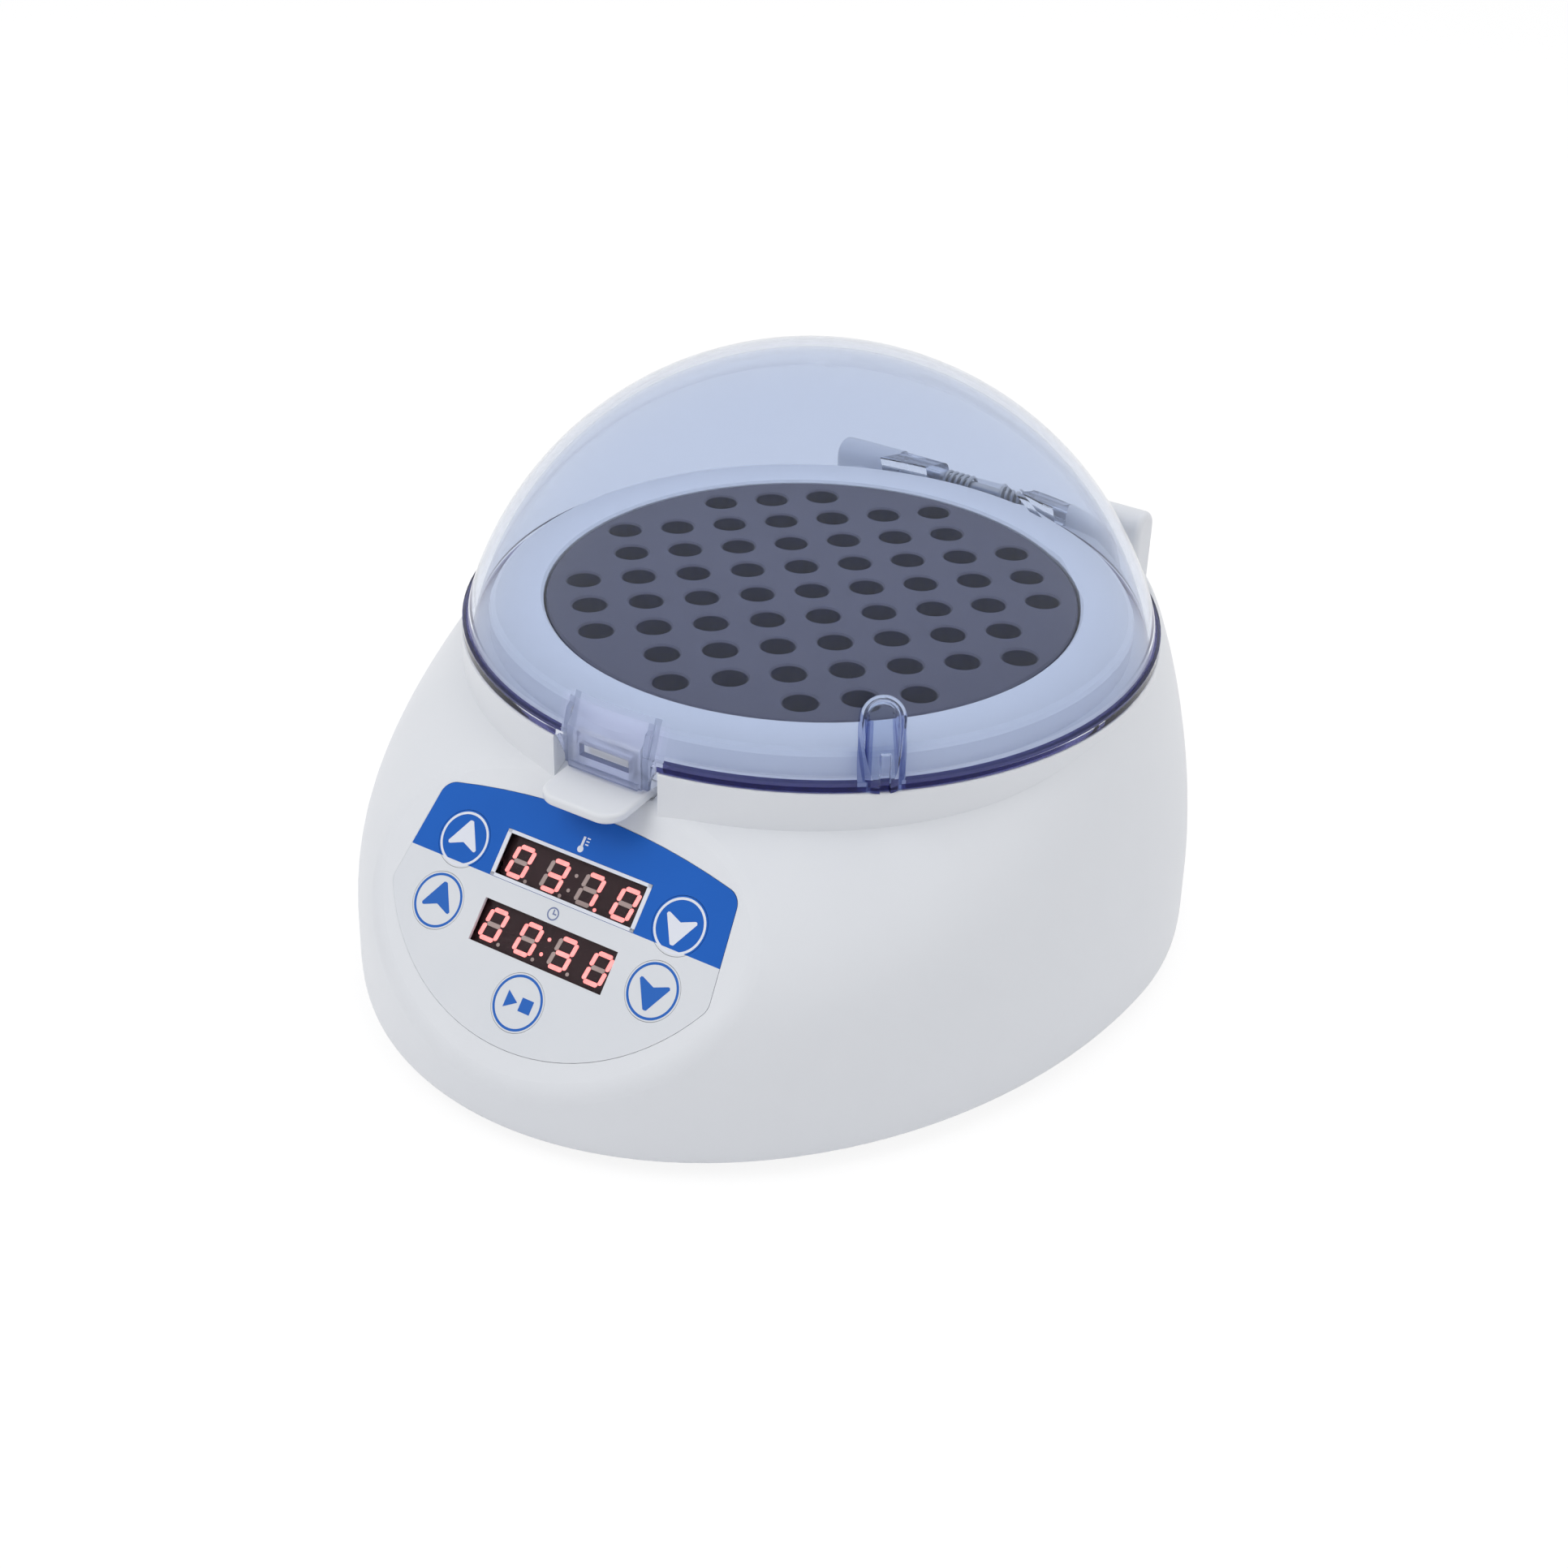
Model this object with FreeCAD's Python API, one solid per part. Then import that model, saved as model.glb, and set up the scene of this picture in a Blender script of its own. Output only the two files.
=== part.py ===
import FreeCAD, Part
import math
import os
from FreeCAD import Placement, Rotation, Vector

# Dry bath incubator: a small bench heater for sample tubes under a hinged clear dome.
# Millimetres, +Z up, the front faces -Y. The origin is on the bench, under the middle of the object.

# Overall body
BODY_HALF_WIDTH = 94.7
BODY_FRONT = 123.2        # block axis to the foremost point
BODY_BACK = 100.0         # block axis to the rearmost point
WIDEST_AHEAD = 2.5        # the outline is widest this far ahead of the block axis
BACK_NARROWING = 0.12     # share by which the back's outline is slimmer than an ellipse
FOOT_HEIGHT = 4.0
FACE_HEIGHT = 80.0        # top face of the heating block above the bench
WALL = 2.5
EDGE_ROLL = 2.0           # rounding of the body's bottom edge
TOP_ROLL = 1.2            # rounding where the body's side meets its roof
SIDE_TAPER = 14.3
SIDE_POWER = 2.14
BACK_TAPER = 3.4
BACK_POWER = 7.8
SHOULDER_REACH = 77.5     # how far the shoulder comes forward where the collar band covers it
SHOULDER_DEPTH = 14.0     # height of that place below the block's face
SHOULDER_POWER = 3.16
HIDDEN_REACH = 64.0       # the shoulder ends here, out of sight inside the collar
STRAIGHT_HEIGHT = 8.0     # the wall stands straight up to this height above its bottom
SECTION_POINTS = 32

# Control panel facet
PANEL_TILT = 48.2         # degrees from the bench
PANEL_BELOW_FACE = 41.7   # time window's middle, below the block's face
PANEL_AHEAD = 103.0       # time window's middle, ahead of the block's axis
FACET_ROUND = 6.0         # rounding between the flat facet and the body
OVERLAY_THICKNESS = 0.8
RECESS_DEPTH = 0.7
PANEL_TOP = 29.4
PANEL_SHOULDER = 24.8
PANEL_SHOULDER_HALF = 38.8
PANEL_WAIST = 1.0
PANEL_WAIST_HALF = 42.0
PANEL_BOTTOM = 23.2
PANEL_CORNER = 4.0
TEMP_ROW = 15.0           # height of the upper display over the lower one
TEMP_WINDOW = (38.2, 10.8)
TIME_WINDOW = (35.2, 9.6)
KEY_SPREAD = 28.6         # arrow keys left and right of the middle
KEY_R = 6.4
START_ROW = 13.1          # start key below the lower display
TIME_KEY_ROW = 0.2
TEMP_KEY_ROW = 14.6
KEY_GAP = 0.1
KEY_ROOM = 0.3            # clearance round a key under the film
KEY_SINK = 0.15           # depth left under a key that is pressed in
KEY_TRAVEL = 0.4
KEY_STEM_R = 1.8
FILM_GAP = 0.05
PANE_THICKNESS = 0.6

# Display board
MODULE_SIZE = (40.2, 12.6, 7.0)
MODULE_SET_BACK = 1.0
PANEL_STEM_R = 3.0
PANEL_SCREW_R = 1.0
BOARD_THICKNESS = 1.6
DISPLAY_BOARD = (84.0, 38.4)
DISPLAY_BOARD_MIDDLE = 2.5
TACT_SIZE = (6.0, 6.0, 3.5)
TACT_BUTTON_R = 1.75

# Heating block and its wells
BLOCK_R = 61.8
BLOCK_HEIGHT = 36.0
WELL_PITCH = 13.0
WELL_R = 4.0
WELL_DEPTH = 28.0
WELL_CONE = 12.0
WELL_TIP_R = 1.4
WELL_CHAMFER = 0.4
WELL_ROWS = (3, 7, 7, 9, 9, 9, 7, 7, 3)
GRID_TURN = 44.0          # the grid of wells is turned about the axis, in degrees
HEATER_THICKNESS = 1.5
HEATER_R = 60.0
CLAMP_THICKNESS = 2.0
CLAMP_R = 60.5
FELT_THICKNESS = 4.0
SLEEVE_GAP = 0.5
SLEEVE_THICKNESS = 3.5
SLEEVE_TOP_DROP = 8.0
PILLAR_CIRCLE_R = 46.0
PILLAR_R = 4.0
STUD_R = 2.0
STUD_GRIP = 5.0
PROBE_R = 2.0
PROBE_LENGTH = 40.0
PROBE_HEIGHT = 4.0        # above the block's underside
CUTOUT_R = 7.0
CUTOUT_HEIGHT = 6.0

# Collar on the body
DECK_RISE = 0.4
DECK_BORE_GAP = 0.5
COLLAR_R = 74.5
LEDGE_DROP = 6.0
BAND_R = 81.5
BAND_BOTTOM_DROP = 22.0
NOTCH_HALF_WIDTH = 13.6
NOTCH_BACK = 74.9
BAND_EDGE = 0.4

# Dome lid
RIM_R = 81.0
DOME_HEIGHT = 56.6        # top of the dome above the block's face
LID_WALL = 2.4
SEAT_GAP = 0.3
RIM_BEAD = 0.5
RIM_BEAD_HEIGHT = 2.2
NUB_AZIMUTH = 43.2        # degrees to the right of the front
NUB_R = 4.8
NUB_CENTRE_R = 77.6
NUB_HEIGHT = 20.0
NUB_WALL = 1.4
NUB_SLOT = 2.2

# Latch
BOSS_HALF_WIDTH = 9.6
BOSS_FACE = 80.6
BOSS_DROP = 11.4
BOSS_SHOULDER_DROP = 1.7
BOSS_ROOF_RISE = 1.0
BOSS_ROOF_BACK = 2.3      # the roof slopes back this far behind the face
BOSS_DEPTH = 9.0
BOSS_WALL = 1.6
BOSS_EDGE = 0.6
BOSS_LIP = 0.6            # the lip along the bottom stands this far proud of the face
BOSS_LIP_HEIGHT = 1.4
FIN_THICKNESS = 1.3
FIN_SET_BACK = 0.7
FIN_RISE = 2.4
WING_HALF_WIDTH = 13.0
WING_SET_BACK = 0.5
WINDOW_HALF_WIDTH = 6.4
WINDOW_TOP_DROP = 5.2
WINDOW_BOTTOM_DROP = 8.1
TAB_HALF_WIDTH = 10.5
TAB_CORNER = 5.0
TAB_EDGE = 0.8
TAB_THICKNESS = 2.4
TAB_ROOT = 77.5           # the finger lip starts here and its flat shank runs on inwards
TAB_TIP = 91.5
TAB_TOP_DROP = 12.0
TAB_TIP_DROP = 12.9
TAB_TRAVEL = 2.0
NOSE_HALF_WIDTH = 5.4
NOSE_THICKNESS = 1.8
NOSE_ROOM = 0.6
SLIDE_GAP = 0.25
GUIDE_R = 0.9
GUIDE_LENGTH = 2.0
SPRING_SEAT_GAP = 1.5     # from the felt sleeve to the seat of the release spring
SPRING_SEAT_HALF = 8.0
SPRING_SEAT_THICKNESS = 1.2
RELEASE_COIL_R = 1.5
RELEASE_WIRE_R = 0.25
RELEASE_TURNS = 3

# Hinge
HINGE_BEHIND = 87.0       # hinge axis behind the block axis
HINGE_DROP = 5.0
PIN_R = 1.5
PIN_GAP = 0.05
LUG_R = 4.2
LUG_SPAN = (14.0, 26.0)
HINGE_ROOM = 1.0          # clearance round the lugs in the trough between the posts
TOWER_SPAN = (26.5, 45.0)
TOWER_R = 4.5
TOWER_HEIGHT = 30.0
SPRING_SPAN = (3.5, 13.0)
SPRING_WIRE_R = 0.5
SPRING_COIL_R = 2.4
SPRING_COIL_TURNS = 5
BED_AHEAD = 9.0           # solid bed under the hinge, ahead of and behind its axis
BED_BEHIND = 12.0
BED_DEPTH = 9.0

# Back panel
PORT_RECESS = 6.5
PORT_HALF_WIDTH = 30.0
PORT_BOTTOM = 14.0
PORT_TOP = 42.0
PORT_GAP = 0.2
INLET_X = -12.0
INLET_FLANGE = (31.0, 24.0, 2.0)
INLET_BODY = (27.0, 19.8, 24.0)
INLET_SOCKET = (24.0, 16.4, 17.0)
INLET_CORNER = 5.5        # size of the socket's two cut corners
INLET_PINS = ((-7.0, -2.2), (0.0, 2.2), (7.0, -2.2))
PIN_TAIL = 8.0            # length of a pin behind the inlet's body
SWITCH_X = 18.0
SWITCH_BEZEL = (15.0, 21.0, 2.0)
SWITCH_BODY = (12.8, 19.0, 17.0)
ROCKER_HALF_WIDTH = 5.2
ROCKER_R = 8.0
ROCKER_TILT = 8.0
ROCKER_GAP = 0.3
ROCKER_AXIS_RISE = 0.5
ROCKER_PIVOT_R = 1.0

# Base and main board
PLATE_THICKNESS = 3.0
PLATE_GAP = 0.3
FOOT_R = 8.0
SCREW_R = 1.5
SCREW_HEAD_R = 2.9
SCREW_HEAD_HEIGHT = 1.3
HEAD_SINK_R = 3.1
HEAD_SINK_DEPTH = 1.5
MAIN_BOARD = (112.0, 78.0)
BOARD_LIFT = 5.0
BOARD_SCREW_R = 1.2
BOARD_SCREW_HEAD_R = 2.4
STANDOFF_R = 3.2
BOSS_R = 4.0
BOSS_HEIGHT = 34.0
BOSS_RIB_HALF = 1.2
PLATE_SLOTS = 11
PLATE_SLOT_PITCH = 8.0
PLATE_SLOT = (3.0, 36.0)
WIRE_R = 0.9
MAINS_WIRE_R = 1.1
LEAD_X = 20.0
LEAD_SPREAD = 3.0
LEAD_RISE = 6.0           # last upright stretch of a lead above the board

# Parts on the main board: place beside and behind the block's axis, and sizes
TRANSFORMER_PLACE = (-6.0, 18.0)
TRANSFORMER_CORE = (40.0, 24.0, 19.0)
TRANSFORMER_BOBBIN = (26.0, 33.0, 14.0)
RELAY_PLACE = (12.0, -22.0)
RELAY_SIZE = (19.0, 15.0, 15.0)
CAPACITOR_PLACE = (-14.0, -22.0)
CAPACITOR_R = 6.5
CAPACITOR_HEIGHT = 18.0
HEAT_SINK_PLACE = (47.0, -2.0)
HEAT_SINK_BACK = (3.0, 32.0, 18.0)
HEAT_SINK_FIN = (8.0, 1.4, 18.0)
HEAT_SINK_FINS = (-15.0, -9.0, -3.0, 3.0, 9.0, 15.0)
TRIAC_SIZE = (4.2, 10.0, 15.0)
TERMINAL_SIZE = (8.0, 16.0, 10.0)
FUSE_X = -46.0
FUSE_R = 2.55
FUSE_LENGTH = 22.0
FUSE_RISE = 5.0
CLIP_SIZE = (7.6, 5.0, 8.0)
CLIP_PLACES = (-8.5, 8.5)
BUZZER_PLACE = (-44.0, -24.0)
BUZZER_R = 6.0
BUZZER_HEIGHT = 8.0

# Values worked out from the sizes above
BLOCK_Y = (BODY_FRONT - BODY_BACK) / 2
AXIS = Vector(0, BLOCK_Y, 0)
BODY_BOTTOM = FOOT_HEIGHT
LEDGE_Z = FACE_HEIGHT - LEDGE_DROP
BODY_ROOF = LEDGE_Z
STRAIGHT_TOP = BODY_BOTTOM + STRAIGHT_HEIGHT
TILT = math.radians(PANEL_TILT)
PANEL_Y = BLOCK_Y - PANEL_AHEAD
PANEL_Z = FACE_HEIGHT - PANEL_BELOW_FACE
DECK_Z = FACE_HEIGHT + DECK_RISE
RIM_Z = LEDGE_Z + SEAT_GAP
DOME_TOP_Z = FACE_HEIGHT + DOME_HEIGHT
DOME_RISE = DOME_TOP_Z - RIM_Z
DOME_R = (RIM_R ** 2 + DOME_RISE ** 2) / (2 * DOME_RISE)
DOME_CENTRE = Vector(0, BLOCK_Y, DOME_TOP_Z - DOME_R)
HINGE_Y = BLOCK_Y + HINGE_BEHIND
HINGE_Z = FACE_HEIGHT - HINGE_DROP
BLOCK_BOTTOM = FACE_HEIGHT - BLOCK_HEIGHT
HEATER_BOTTOM = BLOCK_BOTTOM - HEATER_THICKNESS
CLAMP_BOTTOM = HEATER_BOTTOM - CLAMP_THICKNESS
FELT_BOTTOM = CLAMP_BOTTOM - FELT_THICKNESS
SLEEVE_INNER_R = BLOCK_R + SLEEVE_GAP
SLEEVE_R = SLEEVE_INNER_R + SLEEVE_THICKNESS
SPRING_SEAT = SLEEVE_R + SPRING_SEAT_GAP
PROBE_Z = BLOCK_BOTTOM + PROBE_HEIGHT
LEAD_Y = (BLOCK_Y - LEAD_SPREAD, BLOCK_Y + LEAD_SPREAD)
PLATE_TOP = BODY_BOTTOM + PLATE_THICKNESS
BOARD_BOTTOM = PLATE_TOP + BOARD_LIFT
BOARD_TOP = BOARD_BOTTOM + BOARD_THICKNESS
MODULE_BACK = -RECESS_DEPTH - MODULE_SET_BACK - MODULE_SIZE[2]
PORT_Y = BLOCK_Y + BODY_BACK - PORT_RECESS
PORT_Z = (PORT_BOTTOM + PORT_TOP) / 2
ROCKER_AXIS_Y = PORT_Y + ROCKER_AXIS_RISE
KEY_PLACES = {
    "key_temperature_up": (-KEY_SPREAD, TEMP_KEY_ROW),
    "key_temperature_down": (KEY_SPREAD, TEMP_KEY_ROW),
    "key_time_up": (-KEY_SPREAD, TIME_KEY_ROW),
    "key_time_down": (KEY_SPREAD, TIME_KEY_ROW),
    "key_start_stop": (0.0, -START_ROW),
}


def export(name, shape):
    """Write one named piece, as a single solid or a group of like solids."""
    solids = shape.Solids
    result = solids[0] if len(solids) == 1 else Part.makeCompound(solids)
    result.exportStep("parts/" + name + ".step")
    box_now = result.BoundBox
    print(name, len(solids), result.isValid(), round(result.Volume), box_now)


def box(x0, x1, y0, y1, z0, z1):
    return Part.makeBox(x1 - x0, y1 - y0, z1 - z0, Vector(x0, y0, z0))


def block_of(middle_x, middle_y, size, z0):
    """A box by its middle in plan, its size and its underside."""
    half_x = size[0] / 2
    half_y = size[1] / 2
    return box(middle_x - half_x, middle_x + half_x, middle_y - half_y, middle_y + half_y, z0, z0 + size[2])


def upright(radius, x, y, z0, z1):
    return Part.makeCylinder(radius, z1 - z0, Vector(x, y, z0))


def across(radius, x0, x1, y, z):
    return Part.makeCylinder(radius, x1 - x0, Vector(x0, y, z), Vector(1, 0, 0))


def disc(radius, z0, z1):
    return upright(radius, 0, BLOCK_Y, z0, z1)


def prism_yz(points, x0, x1):
    """A straight prism along X from a closed outline of (y, z) points."""
    outline = [Vector(x0, y, z) for y, z in points]
    outline.append(outline[0])
    return Part.Face(Part.makePolygon(outline)).extrude(Vector(x1 - x0, 0, 0))


def turned(points):
    """A solid of revolution about the block's axis from (radius, z) points."""
    outline = [Vector(r, BLOCK_Y, z) for r, z in points]
    outline.append(outline[0])
    return Part.Face(Part.makePolygon(outline)).revolve(AXIS, Vector(0, 0, 1), 360)


def joined(shapes):
    """Fuse solids into one and drop the seams between them."""
    return shapes[0].multiFuse(shapes[1:]).removeSplitter()


def mirrored(shape):
    return shape.mirror(Vector(0, 0, 0), Vector(1, 0, 0))


def on_panel(shape):
    """Move a shape from panel axes (across, up the slope, outwards) to its place."""
    moved = shape.copy()
    moved.Placement = Placement(Vector(0, PANEL_Y, PANEL_Z), Rotation(Vector(1, 0, 0), PANEL_TILT))
    return moved


def circle_places(count, radius, start):
    places = []
    for number in range(count):
        angle = math.radians(start + 360.0 * number / count)
        places.append((radius * math.cos(angle), BLOCK_Y + radius * math.sin(angle)))
    return places


def tube(points, radius, bend):
    """A round wire along straight runs joined by tangent arcs."""
    corners = [Vector(*p) for p in points]
    edges = []
    start = corners[0]
    for before, corner, after in zip(corners, corners[1:], corners[2:]):
        into = (corner - before).normalize()
        out = (after - corner).normalize()
        half_turn = into.getAngle(out) / 2
        reach = min(bend * math.tan(half_turn), 0.45 * min((corner - before).Length, (after - corner).Length))
        arc_start = corner - into * reach
        arc_end = corner + out * reach
        arc_radius = reach / math.tan(half_turn)
        inward = (out - into).normalize()
        centre = corner + inward * (arc_radius / math.cos(half_turn))
        edges.append(Part.LineSegment(start, arc_start).toShape())
        edges.append(Part.Arc(arc_start, centre - inward * arc_radius, arc_end).toShape())
        start = arc_end
    edges.append(Part.LineSegment(start, corners[-1]).toShape())
    path = Part.Wire(edges)
    heading = (corners[1] - corners[0]).normalize()
    ring = Part.Wire([Part.makeCircle(radius, corners[0], heading)])
    return path.makePipeShell([ring], True, False)


def quarter_roll(distance, radius):
    """How far a rounded edge draws in at a distance from the face that ends it."""
    height = min(max(distance, 0.0), radius)
    return radius - math.sqrt(radius ** 2 - (radius - height) ** 2)


def body_reach(z):
    """Half-width, front reach and back reach of the body's outline at a height."""
    rise = max(z - STRAIGHT_TOP, 0.0)
    side_rise = rise / (BODY_ROOF - STRAIGHT_TOP)
    front_rise = rise / (FACE_HEIGHT - SHOULDER_DEPTH - STRAIGHT_TOP)
    half_width = BODY_HALF_WIDTH - SIDE_TAPER * side_rise ** SIDE_POWER
    front = BODY_FRONT - (BODY_FRONT - SHOULDER_REACH) * front_rise ** SHOULDER_POWER
    back = BODY_BACK - BACK_TAPER * side_rise ** BACK_POWER
    roll = quarter_roll(z - BODY_BOTTOM + EDGE_ROLL * 0.15, EDGE_ROLL)
    roll += quarter_roll(BODY_ROOF - z + TOP_ROLL * 0.15, TOP_ROLL)
    return half_width - roll, max(front, HIDDEN_REACH) - roll, back - roll


def body_outline(z, inset):
    """One level of the body: two half ellipses that meet where it is widest."""
    level = max(z, BODY_BOTTOM)
    if inset > 0:
        level = min(level + inset * 0.7, BODY_ROOF - TOP_ROLL)
    half_width, front, back = body_reach(level)
    points = []
    for number in range(SECTION_POINTS):
        angle = 2 * math.pi * number / SECTION_POINTS
        behind = math.sin(angle) > 0
        depth = back + WIDEST_AHEAD if behind else front - WIDEST_AHEAD
        slim = BACK_NARROWING if behind else 0.0
        x = (half_width - inset) * math.cos(angle) * (1 - slim * math.sin(angle) ** 2)
        y = BLOCK_Y - WIDEST_AHEAD + (depth - inset) * math.sin(angle)
        points.append(Vector(x, y, z))
    curve = Part.BSplineCurve()
    curve.interpolate(Points=points, PeriodicFlag=True)
    return Part.Wire([curve.toShape()])


def body_lump(inset, bottom, top):
    """The body's smooth lump between two heights, drawn in by an inset."""
    roll = EDGE_ROLL * 0.4
    middle = [bottom + EDGE_ROLL + (top - TOP_ROLL - bottom - EDGE_ROLL) * share
              for share in (0.0, 0.1, 0.22, 0.35, 0.47, 0.59, 0.68, 0.76, 0.83, 0.89, 0.95, 1.0)]
    levels = [bottom, bottom + roll] + middle
    if inset == 0:
        levels += [top - TOP_ROLL * 0.4, top]
    return Part.makeLoft([body_outline(z, inset) for z in levels], True, False)


def beyond_panel(depth):
    """Everything outside the panel's plane, from a depth behind it."""
    return on_panel(box(-120, 120, -80, 90, -depth, 90))


def faceted_lump():
    """The outer lump with the control panel's flat facet, rounded all along its edge."""
    lump = body_lump(0.0, BODY_BOTTOM, BODY_ROOF).cut(beyond_panel(0.0))
    outward = Vector(0, -math.sin(TILT), math.cos(TILT))
    facets = [face for face in lump.Faces
              if face.Surface.TypeId == "Part::GeomPlane" and abs(face.normalAt(0, 0).dot(outward)) > 0.999]
    return lump.makeFillet(FACET_ROUND, facets[0].Edges)


def panel_prism(grow, n0, n1):
    """The panel's outline as a prism between two depths on the panel's own axes."""
    half = PANEL_SHOULDER_HALF + grow
    waist = PANEL_WAIST_HALF + grow
    top_arc = Part.Arc(Vector(half, PANEL_SHOULDER + grow, n0), Vector(0, PANEL_TOP + grow, n0),
                       Vector(-half, PANEL_SHOULDER + grow, n0))
    low_arc = Part.Arc(Vector(-waist, PANEL_WAIST, n0), Vector(0, -PANEL_BOTTOM - grow, n0),
                       Vector(waist, PANEL_WAIST, n0))
    left = Part.LineSegment(top_arc.EndPoint, low_arc.StartPoint)
    right = Part.LineSegment(low_arc.EndPoint, top_arc.StartPoint)
    wire = Part.Wire([top_arc.toShape(), left.toShape(), low_arc.toShape(), right.toShape()])
    prism = Part.Face(wire).extrude(Vector(0, 0, n1 - n0))
    upright_edges = [e for e in prism.Edges if abs(e.tangentAt(e.FirstParameter).z) > 0.99]
    return prism.makeFillet(PANEL_CORNER, upright_edges)


def window_block(size, row, grow, n0, n1):
    half_u = size[0] / 2 + grow
    half_v = size[1] / 2 + grow
    return box(-half_u, half_u, row - half_v, row + half_v, n0, n1)


def well_places():
    """Middles of the wells: a square grid with short outer rows, turned about the axis."""
    turn = math.radians(GRID_TURN)
    middle_row = (len(WELL_ROWS) - 1) / 2
    places = []
    for row, count in enumerate(WELL_ROWS):
        for column in range(count):
            along = (column - (count - 1) / 2) * WELL_PITCH
            over = (row - middle_row) * WELL_PITCH
            x = along * math.cos(turn) - over * math.sin(turn)
            y = along * math.sin(turn) + over * math.cos(turn)
            places.append((x, BLOCK_Y + y))
    return places


def well_cutter(x, y):
    """One blind well: a lead-in chamfer, a straight bore and a conical tip."""
    low = FACE_HEIGHT - WELL_DEPTH
    profile = [(0, FACE_HEIGHT + 1), (WELL_R + WELL_CHAMFER + 1, FACE_HEIGHT + 1),
               (WELL_R, FACE_HEIGHT - WELL_CHAMFER), (WELL_R, low + WELL_CONE), (WELL_TIP_R, low), (0, low)]
    outline = [Vector(x + r, y, z) for r, z in profile]
    outline.append(outline[0])
    return Part.Face(Part.makePolygon(outline)).revolve(Vector(x, y, 0), Vector(0, 0, 1), 360)


# Places of the fasteners
PILLARS = circle_places(4, PILLAR_CIRCLE_R, 45)
CASE_SCREWS = [(-66.0, BLOCK_Y - 56.0), (66.0, BLOCK_Y - 56.0), (-68.0, BLOCK_Y + 46.0), (68.0, BLOCK_Y + 46.0)]
FEET = [(-52.0, BLOCK_Y - 80.0), (52.0, BLOCK_Y - 80.0), (-50.0, BLOCK_Y + 62.0), (50.0, BLOCK_Y + 62.0)]
BOARD_SCREWS = [(sx * (MAIN_BOARD[0] / 2 - 5), BLOCK_Y + sy * (MAIN_BOARD[1] / 2 - 5))
                for sx in (-1, 1) for sy in (-1, 1)]
PANEL_SCREWS = [(sx * (DISPLAY_BOARD[0] / 2 - 4), DISPLAY_BOARD_MIDDLE + sy * (DISPLAY_BOARD[1] / 2 - 4.5))
                for sx in (-1, 1) for sy in (-1, 1)]


def collar_ring():
    """Raised collar inside the lid: an outer wall, a flat deck and a lip round the block."""
    bore = BLOCK_R + DECK_BORE_GAP
    foot = BODY_ROOF - 8
    edge = 1.5
    return turned([(bore, FACE_HEIGHT - SLEEVE_TOP_DROP + 0.5), (bore, DECK_Z - 0.6), (bore + 0.6, DECK_Z),
                   (COLLAR_R - edge, DECK_Z), (COLLAR_R - edge * 0.3, DECK_Z - edge * 0.3),
                   (COLLAR_R, DECK_Z - edge), (COLLAR_R, foot), (COLLAR_R - WALL, foot),
                   (COLLAR_R - WALL, DECK_Z - WALL), (bore + WALL, DECK_Z - WALL),
                   (bore + WALL, FACE_HEIGHT - SLEEVE_TOP_DROP + 0.5)])


def hinge_tower():
    """One white post of the hinge, standing on the body's back shoulder."""
    foot_z = HINGE_Z - TOWER_HEIGHT
    front = HINGE_Y - TOWER_R
    back = HINGE_Y + TOWER_R
    web = prism_yz([(front, foot_z), (back, foot_z + 2 * TOWER_R), (back, HINGE_Z), (front, HINGE_Z)],
                   TOWER_SPAN[0], TOWER_SPAN[1])
    barrel = across(TOWER_R, TOWER_SPAN[0], TOWER_SPAN[1], HINGE_Y, HINGE_Z)
    tower = web.fuse(barrel).removeSplitter()
    end_edges = [e for e in tower.Edges if abs(e.BoundBox.XMax - TOWER_SPAN[1]) < 0.01
                 and e.BoundBox.XLength < 0.01 and e.BoundBox.ZMax > HINGE_Z - 0.1]
    return tower.makeFillet(1.6, end_edges)


def port_pocket(grow):
    return box(-PORT_HALF_WIDTH - grow, PORT_HALF_WIDTH + grow, PORT_Y - grow, BLOCK_Y + BODY_BACK + 5,
               PORT_BOTTOM - grow, PORT_TOP + grow)


def case_boss(x, y):
    """A screw boss of the cover, carried to the wall by a rib."""
    boss = upright(BOSS_R, x, y, PLATE_TOP + 0.2, PLATE_TOP + BOSS_HEIGHT)
    side = 1 if x > 0 else -1
    rib = box(min(x, side * BODY_HALF_WIDTH), max(x, side * BODY_HALF_WIDTH), y - BOSS_RIB_HALF,
              y + BOSS_RIB_HALF, PLATE_TOP + 2, PLATE_TOP + BOSS_HEIGHT)
    return boss.fuse(rib)


def panel_cutter():
    """All that is sunk into the facet: the film's recess, display windows and key holes."""
    pocket = KEY_TRAVEL + KEY_SINK
    shapes = [panel_prism(KEY_GAP, -RECESS_DEPTH, 6)]
    for row in (TEMP_ROW, 0.0):
        shapes.append(window_block(MODULE_SIZE, row, FILM_GAP * 6, -WALL - 4, -0.1))
    for u, v in KEY_PLACES.values():
        shapes.append(Part.makeCylinder(KEY_R + KEY_ROOM, pocket + 0.5, Vector(u, v, -RECESS_DEPTH - pocket)))
        shapes.append(Part.makeCylinder(KEY_STEM_R + 0.15, WALL + 4, Vector(u, v, -WALL - 4)))
    return on_panel(shapes[0].multiFuse(shapes[1:]))


def slider_cutter():
    """The slot for the release tab's shank, with the room for its catch nose."""
    top = FACE_HEIGHT - TAB_TOP_DROP + SLIDE_GAP
    low = top - TAB_THICKNESS - 2 * SLIDE_GAP
    half = TAB_HALF_WIDTH + SLIDE_GAP
    nose_half = NOSE_HALF_WIDTH + NOSE_ROOM
    slot = box(-half, half, BLOCK_Y - BAND_R, BLOCK_Y - SLEEVE_R, low, top)
    return slot.fuse(box(-nose_half, nose_half, BLOCK_Y - BOSS_FACE, BLOCK_Y - NOTCH_BACK, low, LEDGE_Z + 1))


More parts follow.
